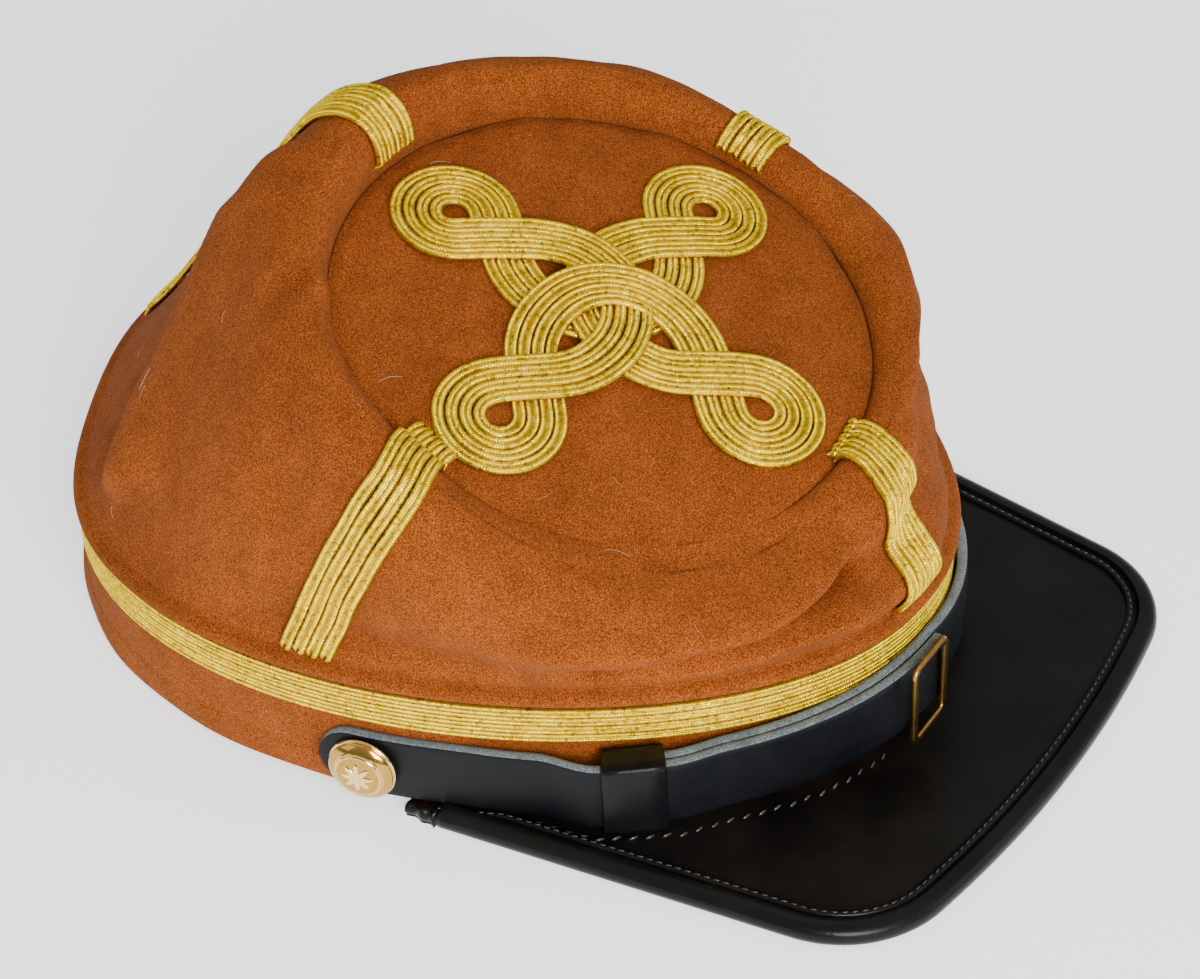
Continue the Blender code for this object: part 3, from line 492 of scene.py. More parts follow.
@dataclass(frozen=True)
class WoolFinish:
    """Rust wool with a short nap: mixed dark and light fibres, a dull sheen, and painted shade in the valleys
    of the wall's creases.
    """

    name: str = "rust_wool"
    dark: tuple[float, float, float] = (0.080, 0.014, 0.002)
    middle: tuple[float, float, float] = (0.215, 0.045, 0.005)
    light: tuple[float, float, float] = (0.450, 0.132, 0.024)

    def material(self) -> bpy.types.Material:
        """Return the material."""
        made = Shader(self.name)
        where = made.objects()
        slanted = made.objects((1.0, 0.35, 1.0))
        fibres = made.noise(where, 3400.0, 3.0, 0.8)
        strands = made.noise(slanted, 2200.0, 4.0, 0.75)
        patches = made.noise(where, 150.0, 3.0)
        shade = made.noise(where, 24.0, 2.0)
        mixed = made.ramp(fibres, [(0.37, self.dark), (0.50, self.middle), (0.63, self.light)])
        lines = made.ramp(strands, [(0.36, (0.72,) * 3), (0.50, (1.0,) * 3), (0.68, (1.22, 1.2, 1.16))])
        colour = made.mix("MULTIPLY", 0.75, mixed, lines)
        blotch = made.ramp(patches, [(0.3, (0.88,) * 3), (0.7, (1.10,) * 3)])
        colour = made.mix("MULTIPLY", 1.0, colour, blotch)
        tone = made.ramp(shade, [(0.3, (0.88, 0.87, 0.86)), (0.7, (1.08, 1.07, 1.06))])
        colour = made.mix("MULTIPLY", 1.0, colour, tone)
        # Painted shade darkens the valleys of the creases, which the wall marks as an attribute
        crease = made.add("ShaderNodeAttribute", attribute_name="crease").outputs["Fac"]
        colour = made.mix("MULTIPLY", crease, colour, (0.50, 0.46, 0.44, 1.0))
        made.surface(base_color=colour, roughness=0.92, sheen_weight=0.06, sheen_roughness=0.45)
        made.surface(sheen_tint=(1.0, 0.55, 0.25, 1.0), specular_ior_level=0.08)
        made.bumps([(patches, 0.25, 0.0008), (strands, 0.45, 0.0004), (fibres, 0.55, 0.00035)])
        return made.material


@dataclass(frozen=True)
class FibreFinish:
    """A single fibre that stands off the cloth."""

    name: str
    colour: tuple[float, float, float]
    roughness: float = 0.7

    def material(self) -> bpy.types.Material:
        """Return the material."""
        made = Shader(self.name)
        shade = made.noise(made.objects(), 300.0, 1.0)
        dark = tuple(0.6 * part for part in self.colour)
        colour = made.ramp(shade, [(0.35, dark), (0.65, self.colour)])
        made.surface(base_color=colour, roughness=self.roughness)
        return made.material


@dataclass(frozen=True)
class GoldFinish:
    """Metallic gold thread, each thread a little different, with painted glints: bright points painted into
    it.
    """

    name: str
    deep: tuple[float, float, float]
    plain: tuple[float, float, float]
    # The colour of the painted glints
    bright: tuple[float, float, float]
    metallic: float = 0.88
    roughness: float = 0.40

    def material(self) -> bpy.types.Material:
        """Return the material."""
        made = Shader(self.name)
        where = made.objects()
        cells = made.add("ShaderNodeTexVoronoi", {"Vector": where, "Scale": 1500.0}).outputs["Color"]
        lot = made.add("ShaderNodeSeparateColor", {"Color": cells}).outputs["Red"]
        wear = made.noise(where, 260.0, 3.0)
        # Some threads are darker at random; the brightest stop paints glints on a few threads, which are also
        # made smoother
        stops = [(0.0, self.deep), (0.30, self.plain), (0.84, self.plain), (0.95, self.bright)]
        threads = made.ramp(lot, stops)
        shade = made.ramp(wear, [(0.3, (0.80, 0.78, 0.74)), (0.7, (1.12,) * 3)])
        made.surface(base_color=made.mix("MULTIPLY", 1.0, threads, shade))
        made.surface(roughness=made.grey(lot, 0.75, 1.0, self.roughness, 0.20), metallic=self.metallic)
        made.surface(specular_tint=(1.0, 0.78, 0.22, 1.0))
        fine = made.noise(where, 3200.0, 2.0)
        made.bumps([(fine, 0.35, 0.0001)])
        return made.material


@dataclass(frozen=True)
class LeatherFinish:
    """Finished leather: a fine pebbled grain under a soft gloss, rubbed a little here and there."""

    name: str
    colour: tuple[float, float, float]
    rubbed: tuple[float, float, float]
    gloss: float
    dull: float
    grain: float = 900.0
    depth: float = 0.00012
    coat: float = 0.03
    shine: float = 0.14

    def material(self) -> bpy.types.Material:
        """Return the material."""
        made = Shader(self.name)
        where = made.objects()
        warped = made.add("ShaderNodeTexNoise", {"Vector": where, "Scale": 320.0}).outputs["Color"]
        bent = made.mix("LINEAR_LIGHT", 0.0016, where, warped)
        pebbles = made.add(
            "ShaderNodeTexVoronoi",
            {"Vector": bent, "Scale": self.grain},
            feature="DISTANCE_TO_EDGE",
        ).outputs["Distance"]
        pores = made.noise(where, 2400.0, 3.0, 0.6)
        rub = made.noise(where, 46.0, 4.0, 0.6)
        colour = made.ramp(rub, [(0.40, self.colour), (0.72, self.rubbed)])
        made.surface(base_color=colour, roughness=made.grey(rub, 0.3, 0.7, self.gloss, self.dull))
        made.surface(coat_weight=self.coat, coat_roughness=0.25, specular_ior_level=self.shine)
        made.bumps([(rub, 0.12, 0.0006), (pebbles, 0.30, self.depth), (pores, 0.20, 0.00006)])
        return made.material


@dataclass(frozen=True)
class SuedeFinish:
    """The fluffy cut edge of leather."""

    name: str
    colour: tuple[float, float, float]
    light: tuple[float, float, float]

    def material(self) -> bpy.types.Material:
        """Return the material."""
        made = Shader(self.name)
        where = made.objects()
        fluff = made.noise(where, 1900.0, 4.0, 0.7)
        patches = made.noise(where, 180.0, 3.0)
        colour = made.ramp(fluff, [(0.36, self.colour), (0.64, self.light)])
        shade = made.ramp(patches, [(0.3, (0.72,) * 3), (0.7, (1.15,) * 3)])
        made.surface(base_color=made.mix("MULTIPLY", 1.0, colour, shade), roughness=0.95)
        made.surface(sheen_weight=0.25, specular_ior_level=0.1)
        made.bumps([(fluff, 0.6, 0.0003)])
        return made.material


@dataclass(frozen=True)
class MetalFinish:
    """Metal whose edges are brighter than its flats, with fine scratches."""

    name: str
    colour: tuple[float, float, float]
    edge: tuple[float, float, float]
    roughness: float
    edge_roughness: float

    def material(self) -> bpy.types.Material:
        """Return the material."""
        made = Shader(self.name)
        where = made.objects()
        wear = made.add("ShaderNodeAttribute", attribute_name="edge_wear").outputs["Fac"]
        cloud = made.noise(where, 420.0, 4.0, 0.6)
        colour = made.mix("MIX", wear, (*self.colour, 1.0), (*self.edge, 1.0))
        shade = made.ramp(cloud, [(0.3, (0.86, 0.84, 0.80)), (0.7, (1.05,) * 3)])
        made.surface(base_color=made.mix("MULTIPLY", 1.0, colour, shade), metallic=1.0)
        worn = made.grey(wear, 0.0, 1.0, self.roughness, self.edge_roughness)
        spots = made.grey(cloud, 0.35, 0.75, 0.0, 0.10)
        rough = made.add("ShaderNodeMath", operation="ADD")
        made.feed(rough.inputs[0], worn)
        made.feed(rough.inputs[1], spots)
        made.surface(roughness=rough.outputs[0])
        made.bumps([(made.noise(where, 1500.0, 3.0), 0.08, 0.00005)])
        return made.material


class NodeRecipe:
    """A Geometry Nodes tree with named inputs, run once and made a plain mesh."""

    def __init__(self, name: str, inputs: Sequence[tuple[str, str]]) -> None:
        """Start a tree.

        Args:
            name: The tree's name.
            inputs: Each input's name and socket type, after the geometry.
        """
        self.tree = bpy.data.node_groups.new(name, "GeometryNodeTree")
        self.tree.interface.new_socket(name="Geometry", in_out="INPUT", socket_type="NodeSocketGeometry")
        self.tree.interface.new_socket(name="Geometry", in_out="OUTPUT", socket_type="NodeSocketGeometry")
        for label, kind in inputs:
            self.tree.interface.new_socket(name=label, in_out="INPUT", socket_type=kind)
        self.source = self.tree.nodes.new("NodeGroupInput")
        self.target = self.tree.nodes.new("NodeGroupOutput")

    def add(self, kind: str, inputs: dict[Any, Any] | None = None, **settings: Any) -> bpy.types.Node:
        """Add a node, with values or other sockets for its inputs by name or number."""
        node = self.tree.nodes.new(kind)
        for key, value in settings.items():
            setattr(node, key, value)
        for key, value in (inputs or {}).items():
            socket = node.inputs[key]
            if isinstance(value, bpy.types.NodeSocket):
                self.tree.links.new(value, socket)
            else:
                socket.default_value = value
        return node

    def given(self, label: str) -> bpy.types.NodeSocket:
        """Return the socket of a named input."""
        return self.source.outputs[label]

    def vector(self, x: Any, y: Any, z: Any) -> bpy.types.NodeSocket:
        """Return a vector joined from three values."""
        return self.add("ShaderNodeCombineXYZ", {0: x, 1: y, 2: z}).outputs[0]

    def scaled(self, value: Any, factor: Any) -> bpy.types.NodeSocket:
        """Return a value times a factor."""
        return self.add("ShaderNodeMath", {0: value, 1: factor}, operation="MULTIPLY").outputs[0]

    def random(self, low: float, high: float) -> bpy.types.NodeSocket:
        """Return a random value for each point, from the tree's seed."""
        inputs = {"Seed": self.given("Seed"), 2: low, 3: high}
        return self.add("FunctionNodeRandomValue", inputs, data_type="FLOAT").outputs[1]

    def spun(self, rotation: bpy.types.NodeSocket, angle: bpy.types.NodeSocket) -> bpy.types.NodeSocket:
        """Return a rotation turned further about its own upright axis."""
        turn = self.add("FunctionNodeAxisAngleToRotation", {"Axis": (0.0, 0.0, 1.0), "Angle": angle})
        inputs = {0: rotation, 1: turn.outputs[0]}
        turned = self.add("FunctionNodeRotateRotation", inputs, rotation_space="LOCAL")
        return turned.outputs[0]

    def end(self, geometry: bpy.types.NodeSocket) -> None:
        """Realize the instances, set the material and finish the tree."""
        real = self.add("GeometryNodeRealizeInstances", {"Geometry": geometry})
        smooth = self.add("GeometryNodeSetShadeSmooth", {"Geometry": real.outputs[0]})
        dressed = self.add("GeometryNodeSetMaterial", {"Geometry": smooth.outputs[0]})
        self.tree.links.new(self.given("Material"), dressed.inputs["Material"])
        self.tree.links.new(dressed.outputs[0], self.target.inputs[0])

    def run(self, name: str, guide: bpy.types.Object, values: dict[str, Any]) -> bpy.types.Object:
        """Run the tree on a guide.

        Args:
            name: The new piece's name.
            guide: The object that the tree reads.
            values: A value for each named input.

        Returns:
            The result as a piece with a plain mesh.
        """
        modifier = guide.modifiers.new(self.tree.name, "NODES")
        modifier.node_group = self.tree
        for item in self.tree.interface.items_tree:
            if item.item_type == "SOCKET" and item.in_out == "INPUT" and item.name in values:
                modifier[item.identifier] = values[item.name]
        bpy.context.view_layer.update()
        graph = bpy.context.evaluated_depsgraph_get()
        mesh = bpy.data.meshes.new_from_object(guide.evaluated_get(graph))
        guide.modifiers.remove(modifier)
        mesh.name = name
        return linked(name, mesh)


class ThreadRun(NodeRecipe):
    """Lays short threads at an even pitch along guide lines: the ribs of a braid, or a row of stitches."""

    def __init__(self) -> None:
        """Build the tree."""
        names = ("Pitch", "Slant", "Length", "Width", "Height")
        inputs = [(name, "NodeSocketFloat") for name in names]
        super().__init__("thread_run", [*inputs, ("Material", "NodeSocketMaterial")])
        lines = self.add("GeometryNodeMeshToCurve", {"Mesh": self.given("Geometry")})
        even = self.add("GeometryNodeResampleCurve", {"Curve": lines.outputs[0]}, mode="LENGTH")
        self.tree.links.new(self.given("Pitch"), even.inputs["Length"])
        thread = self.add("GeometryNodeMeshIcoSphere", {"Radius": 0.5, "Subdivisions": 1})
        size = self.vector(self.given("Length"), self.given("Width"), self.given("Height"))
        shaped = self.add("GeometryNodeTransform", {"Geometry": thread.outputs[0], "Scale": size})
        upward = self.add("GeometryNodeInputNamedAttribute", {"Name": "upward"}, data_type="FLOAT_VECTOR")
        hand = self.add("GeometryNodeInputNamedAttribute", {"Name": "hand"}, data_type="FLOAT")
        tangent = self.add("GeometryNodeInputTangent")
        facing = self.add("FunctionNodeAxesToRotation", primary_axis="Z", secondary_axis="X")
        self.tree.links.new(upward.outputs[0], facing.inputs[0])
        self.tree.links.new(tangent.outputs[0], facing.inputs[1])
        rotation = self.spun(facing.outputs[0], self.scaled(self.given("Slant"), hand.outputs[0]))
        copies = self.add(
            "GeometryNodeInstanceOnPoints",
            {"Points": even.outputs[0], "Instance": shaped.outputs[0], "Rotation": rotation},
        )
        self.end(copies.outputs[0])


class LooseFibres(NodeRecipe):
    """Scatters bent fibres over a surface."""

    def __init__(self) -> None:
        """Build the tree."""
        inputs = [(name, "NodeSocketFloat") for name in ("Density", "Length", "Radius", "Rise")]
        inputs += [("Seed", "NodeSocketInt"), ("Material", "NodeSocketMaterial")]
        super().__init__("loose_fibres", inputs)
        points = self.add(
            "GeometryNodeDistributePointsOnFaces",
            {
                "Mesh": self.given("Geometry"),
                "Density": self.given("Density"),
                "Seed": self.given("Seed"),
            },
        )
        length, rise = self.given("Length"), self.given("Rise")
        bend = self.add(
            "GeometryNodeCurveQuadraticBezier",
            {
                "Resolution": 4,
                "Start": (0.0, 0.0, 0.0),
                "Middle": self.vector(self.scaled(length, 0.45), self.scaled(length, 0.12), rise),
                "End": self.vector(length, self.scaled(length, -0.15), self.scaled(rise, 0.35)),
            },
        )
        ring = self.add("GeometryNodeCurvePrimitiveCircle", {"Resolution": 3})
        self.tree.links.new(self.given("Radius"), ring.inputs["Radius"])
        fibre = self.add("GeometryNodeCurveToMesh", {0: bend.outputs[0], 1: ring.outputs[0]})
        rotation = self.spun(points.outputs["Rotation"], self.random(0.0, 2 * math.pi))
        copies = self.add(
            "GeometryNodeInstanceOnPoints",
            {"Points": points.outputs[0], "Instance": fibre.outputs[0], "Rotation": rotation},
        )
        self.tree.links.new(self.random(0.45, 1.35), copies.inputs["Scale"])
        self.end(copies.outputs[0])


@dataclass(frozen=True)
class HeadLine:
    """The oval line round the head that the band, the braid, the peak and the strap follow."""

    length: float = 0.206
    width: float = 0.166
    front_narrowing: float = 0.13
    band_height: float = 0.0295
    dent: float = 0.0065
    dent_azimuth: float = 205.0
    dent_spread: float = 24.0

    def at(self, azimuth: Array, offset: Array, height: Array) -> Array:
        """Return points round the band, a distance outside its outer face and at a height."""
        azimuth, offset, height = np.broadcast_arrays(
            np.asarray(azimuth, float), np.asarray(offset, float), np.asarray(height, float)
        )
        turn = np.radians(azimuth)
        half_length, half_width = self.length / 2, self.width / 2
        tangent_x = half_width * (np.cos(turn) - self.front_narrowing * np.cos(2 * turn))
        tangent_y = half_length * np.sin(turn)
        size = np.hypot(tangent_x, tangent_y)
        away = np.mod(azimuth - self.dent_azimuth + 180, 360) - 180
        up = np.clip(height / self.band_height, 0.0, 1.0)
        offset = offset - self.dent * bump(away, self.dent_spread) * up
        x = half_width * (1 - self.front_narrowing * np.cos(turn)) * np.sin(turn) + offset * tangent_y / size
        y = -half_length * np.cos(turn) - offset * tangent_x / size
        return np.stack([x, y, height], -1)

    def outward(self, azimuth: Array) -> Array:
        """Return the directions that point away from the head."""
        return self.at(azimuth, 1.0, 0.0) - self.at(azimuth, 0.0, 0.0)

    def degrees_for(self, azimuth: float, distance: float) -> float:
        """Return how many degrees round the band make a distance near an azimuth."""
        here, there = self.at(np.array([azimuth - 0.5, azimuth + 0.5]), 0.0, 0.0)
        return distance / float(np.linalg.norm(there - here))

    def half_width(self, y: float) -> float:
        """Return how far the band's outer face stands from the middle at a place along the cap."""
        azimuth = math.degrees(math.acos(np.clip(-y / (self.length / 2), -1.0, 1.0)))
        return float(self.at(azimuth, 0.0, 0.0)[0])


@dataclass(frozen=True)
class RoundTop:
    """The tilted round top and the way a place on it is found."""

    diameter: float = 0.118
    forward: float = 0.0272
    height: float = 0.0765
    tilt: float = 17.6
    lean: float = 2.8
    crowning: float = 0.0015
    seam_drop: float = 0.003

    def axes(self) -> tuple[Array, Array, Array]:
        """Return the top's own directions: to the front, to the left and up."""
        tilt, lean = math.radians(self.tilt), math.radians(self.lean)
        front = np.array([0.0, -math.cos(tilt), -math.sin(tilt)])
        left = np.array([math.cos(lean), 0.0, math.sin(lean)])
        return front, left, unit(np.cross(front, left))

    def at(self, azimuth: Array, radius: Array, rise: Array) -> Array:
        """Return points of the top's own plane, at an azimuth and a radius, and a rise above it."""
        front, left, up = self.axes()
        turn = np.radians(np.asarray(azimuth, float))[..., None]
        radius = np.asarray(radius, float)[..., None]
        rise = np.asarray(rise, float)[..., None]
        centre = np.array([0.0, -self.forward, self.height])
        return centre + radius * (np.sin(turn) * left + np.cos(turn) * front) + rise * up

    def rise(self, azimuth: Array, radius: Array) -> Array:
        """Return the top's height over its plane, crowned in the middle and dropping towards its seam."""
        share = np.asarray(radius, float) / (self.diameter / 2)
        drop = self.seam_drop * across(CROWN_SECTIONS, "drop", azimuth)
        return self.crowning * (1 - share**2) - drop * share**4


@dataclass
class WoolCrown:
    """The crown: the side wall with its welt and rolled rim, the round top, and the band."""

    build: Builder
    head: HeadLine = field(default_factory=HeadLine)
    top: RoundTop = field(default_factory=RoundTop)
    cloth: float = 0.002
    band_wall: float = 0.0025
    welt_height: float = 0.0045
    welt_reach: float = 0.0028
    roll_width: float = 0.0115
    roll_height: float = 0.0065
    wall_rise: float = 0.010
    wall_belly: float = 0.010
    shoulder: float = 0.022
    fold_depth: float = 0.006
    fold_width: float = 0.010
    hem_height: float = 0.008
    welt_share: float = 0.12
    crease_shade_full: float = 0.0030
    around: int = 480

    def folds(self, rows: Sequence[dict[str, Any]], azimuth: Array, share: Array) -> Array:
        """Return how far a table's folds push the wall outwards.

        Args:
            rows: The table of folds.
            azimuth: Places round the wall.
            share: Heights on it, from 0 at the welt to 1 at the crest.

        Returns:
            The push at each place, in metres.
        """
        push = np.zeros(np.broadcast(azimuth, share).shape)
        around = self.head.width / 2
        tall = self.top.height - self.head.band_height
        for fold in rows:
            (a0, s0), (a1, s1) = fold["from"], fold["to"]
            start = np.array([0.0, s0 * tall])
            end = np.array([math.radians((a1 - a0 + 180) % 360 - 180) * around, s1 * tall])
            place_x = np.radians((azimuth - a0 + 180) % 360 - 180) * around
            place_y = share * tall
            along = end - start
            t = ((place_x - start[0]) * along[0] + (place_y - start[1]) * along[1]) / (along @ along)
            t = np.clip(t, 0.0, 1.0)
            distance = np.hypot(place_x - start[0] - t * along[0], place_y - start[1] - t * along[1])
            push = push + fold["depth"] * self.fold_depth * bump(distance, fold["width"] * self.fold_width)
        return push

    def waves(self, azimuth: Array, share: Array) -> Array:
        """Return the soft waves of the cloth at places on the wall."""
        total = np.zeros(np.broadcast(azimuth, share).shape)
        for wave in CLOTH_WAVES:
            turn = np.radians(azimuth) * wave["around"] + 2 * math.pi * wave["up"] * share + wave["start"]
            total = total + wave["depth"] * np.sin(turn)
        return total

    def outside(self, azimuth: Array, share: Array) -> Array:
        """Return the crown's outer surface.

        Args:
            azimuth: Places round it.
            share: Places up it: below 0 the welt, 0 to 1 the wall, and 1 to 2 the inner side of the rim.

        Returns:
            The points.
        """
        azimuth, share = np.broadcast_arrays(np.asarray(azimuth, float), np.asarray(share, float))
        foot = self.head.band_height + GAP
        radius = self.top.diameter / 2
        roll_width = self.roll_width * across(CROWN_SECTIONS, "reach", azimuth)
        roll_height = self.roll_height * across(CROWN_SECTIONS, "roll", azimuth)
        crease = self.head.at(azimuth, 0.0, foot + self.welt_height)
        seam = self.top.rise(azimuth, radius)
        crest = self.top.at(azimuth, radius + 0.5 * roll_width, seam + roll_height)
        outward = self.head.outward(azimuth)
        rise = (self.wall_rise * across(CROWN_SECTIONS, "rise", azimuth))[..., None]
        belly = (self.wall_belly * across(CROWN_SECTIONS, "belly", azimuth))[..., None]
        zero = np.zeros(azimuth.shape)
        rim_out = self.top.at(azimuth, zero + 1.0, zero) - self.top.at(azimuth, zero, zero)
        shoulder = (self.shoulder * across(CROWN_SECTIONS, "shoulder", azimuth))[..., None]
        low = crease + (crest - crease) / 3 + rise * np.array([0.0, 0.0, 1.0]) + belly * outward
        high = crest + shoulder * rim_out
        wall = np.clip(share, 0.0, 1.0)
        t = wall[..., None]
        point = (1 - t) ** 3 * crease + 3 * (1 - t) ** 2 * t * low + 3 * (1 - t) * t**2 * high + t**3 * crest
        held = np.sin(np.pi * np.minimum(wall * 1.6, 0.5)) * (1 - wall**8)
        push = self.folds(CROWN_FOLDS, azimuth, wall) * held
        slack = np.sin(np.pi * np.minimum(wall * 3.0, 0.5))
        push = push + (self.folds(CLOTH_CREASES, azimuth, wall) + self.waves(azimuth, wall)) * slack
        point = point + push[..., None] * outward
        turn = np.clip(share - 1, 0.0, 1.0) * math.pi / 2
        dimple = self.folds(CLOTH_CREASES, azimuth, np.ones_like(wall)) * np.cos(turn)
        inner = self.top.at(
            azimuth,
            radius + 0.5 * roll_width * (1 - np.sin(turn)),
            seam + roll_height * np.cos(turn) + self.waves(azimuth, wall) * np.cos(turn),
        )
        inner = inner + dimple[..., None] * outward
        welt = np.clip(1 + share / self.welt_share, 0.0, 1.0)
        swell = self.welt_reach * np.sin(np.pi * np.clip(welt, 0.0, 1.0)) ** 0.7
        folded = self.head.at(azimuth, swell, foot + welt * self.welt_height)
        over = (share > 1)[..., None]
        below = (share < 0)[..., None]
        return np.where(over, inner, np.where(below, folded, point))

    def normal(self, azimuth: Array, share: Array) -> Array:
        """Return the outer surface's outward directions."""
        step = 0.4
        around = self.outside(azimuth + step, share) - self.outside(azimuth - step, share)
        up = self.outside(azimuth, share + 0.01) - self.outside(azimuth, share - 0.01)
        return unit(np.cross(around, up))

    def side(self) -> bpy.types.Object:
        """Build the side wall, with its inner face a cloth's thickness inside the outer one."""
        azimuths = (np.arange(self.around) * 360.0 / self.around)[:, None]
        shares = np.concatenate(
            [
                np.linspace(-self.welt_share, 0.0, 12, endpoint=False),
                np.linspace(0.0, 1.0, 66, endpoint=False),
                np.linspace(1.0, 2.0, 20),
            ]
        )
        outer = self.outside(azimuths, shares[None, :])
        around = np.roll(outer, -1, 0) - np.roll(outer, 1, 0)
        normals = unit(np.cross(around, np.gradient(outer, axis=1)))
        inner = outer - self.cloth * normals
        inner[:, 0] = self.head.at(azimuths[:, 0], -self.cloth, self.head.band_height + GAP)
        inner[:, -1] = outer[:, -1] - self.cloth * self.top.axes()[2]
        keep = [0, 12, *range(16, len(shares) - 1, 4), len(shares) - 1]
        section = np.concatenate([outer, inner[:, keep[::-1]]], 1)
        piece = self.build.grid("wool_crown_wall", section, close_rows=True)
        # Painted shade for the valleys of the creases, darkest where they sink deepest
        depth = np.clip(-self.folds(CLOTH_CREASES, azimuths, shares[None, :]) / self.crease_shade_full, 0.0, 1.0)
        shadow = np.zeros(section.shape[:2], np.float32)
        shadow[:, : len(shares)] = depth**2
        piece.data.attributes.new("crease", "FLOAT", "POINT").data.foreach_set("value", shadow.ravel())
        return piece

    def disc(self) -> bpy.types.Object:
        """Build the round top, which dips into its seam."""
        azimuths = (np.arange(self.around) * 360.0 / self.around)[:, None]
        edge = self.top.diameter / 2 - 0.00015
        shares = np.concatenate([np.linspace(0.04, 0.94, 40), [0.96, 0.975, 0.985, 0.993, 1.0]])
        radius = (edge * shares)[None, :]
        azimuth = azimuths + 0 * radius
        radius = radius + 0 * azimuths
        ripple = sum(
            wave["depth"] * 0.8 * np.sin(wave["around"] * 9 * radius / edge * np.cos(np.radians(azimuth)) / 6
                                         + wave["up"] * 4 * radius / edge * np.sin(np.radians(azimuth)))
            for wave in CLOTH_WAVES
        )
        rolled = smooth_step(across(CROWN_SECTIONS, "roll", azimuth), 0.0, 0.7)
        dip = 0.0006 * smooth_step(radius / edge, 0.955, 1.0) * rolled
        over = self.top.at(azimuth, radius, self.top.rise(azimuth, radius) + ripple - dip)
        under = self.top.at(azimuth, radius, self.top.rise(azimuth, radius) - self.cloth)
        grid = np.concatenate([over, under[:, ::-1][:, :: 4]], 1)
        centre = np.zeros(1)
        crown = self.top.at(centre, centre, centre + self.top.crowning)[0]
        poles = (crown, crown - self.cloth * self.top.axes()[2])
        return self.build.grid(
            "wool_round_top", grid, close_rows=True, close_columns=False, poles=poles
        )

    def band(self) -> bpy.types.Object:
        """Build the band, with a soft hem crease and rolled lower edge."""
        azimuths = (np.arange(self.around) * 360.0 / self.around)[:, None]
        heights = np.linspace(0.0, self.head.band_height, 40)[None, :]
        lower = np.clip(heights / 0.0012, 0.0, 1.0)
        tuck = -0.0007 * (1 - np.sqrt(1 - (1 - lower) ** 2))
        crease = -0.00035 * bump(heights - self.hem_height, 0.0007)
        puff = 0.00025 * bump(heights - 0.55 * self.hem_height, 0.003)
        slack = 0.00018 * np.sin(np.radians(azimuths) * 17 + heights * 260)
        outer = self.head.at(azimuths, tuck + crease + puff + slack, heights)
        inner = self.head.at(azimuths, -self.band_wall, heights[:, ::-8])
        return self.build.grid("wool_band", np.concatenate([outer, inner], 1), close_rows=True)

    def dress(self, fibres: LooseFibres) -> None:
        """Build the wool pieces and the fibres that stand off them.

        Args:
            fibres: The recipe for loose fibres.
        """
        wool = WoolFinish().material()
        fuzz = FibreFinish("wool_fuzz", (0.36, 0.105, 0.022)).material()
        pale = FibreFinish("pale_fibre", (0.80, 0.66, 0.50)).material()
        pieces = (
            (self.side(), "crown_side", 90000.0, 900.0),
            (self.disc(), "crown_top", 90000.0, 900.0),
            (self.band(), "band", 70000.0, 500.0),
        )
        for number, (piece, node, density, stray) in enumerate(pieces):
            self.build.finish(piece, Slot.WOOL, [wool], [node])
            shown = self.outer_faces(piece)
            values = {"Density": density, "Length": 0.0011, "Radius": 0.000022, "Rise": 0.00045}
            values |= {"Seed": 3 + number, "Material": fuzz}
            self.build.finish(fibres.run(f"{piece.name}_fuzz", shown, values), Slot.WOOL, [])
            values |= {"Density": stray, "Length": 0.0042, "Radius": 0.00003, "Rise": 0.0006}
            values |= {"Seed": 11 + number, "Material": pale}
            self.build.finish(fibres.run(f"{piece.name}_stray_fibres", shown, values), Slot.WOOL, [])
            bpy.data.objects.remove(shown)

    def outer_faces(self, piece: bpy.types.Object) -> bpy.types.Object:
        """Return a guide with only the faces of a piece that look away from the cap's inside."""
        middle = Vector(self.build.placement.leant(np.array([0.0, -0.01, 0.035])))
        work = bmesh.new()
        work.from_mesh(piece.data)
        hidden = []
        for face in work.faces:
            if face.normal.dot(face.calc_center_median() - middle) < 0:
                hidden.append(face)
        bmesh.ops.delete(work, geom=hidden, context="FACES")
        mesh = bpy.data.meshes.new("guide")
        work.to_mesh(mesh)
        work.free()
        return linked("guide", mesh)


@dataclass(frozen=True)
class CordLine:
    """The middle line of one cord: its points, the way up at each, and whether it closes on itself."""

    points: Array
    upward: Array
    closed: bool

    def sideways(self) -> Array:
        """Return the direction across the cord at each point."""
        if self.closed:
            along = np.roll(self.points, -1, 0) - np.roll(self.points, 1, 0)
        else:
            along = np.gradient(self.points, axis=0)
        return unit(np.cross(self.upward, unit(along)))


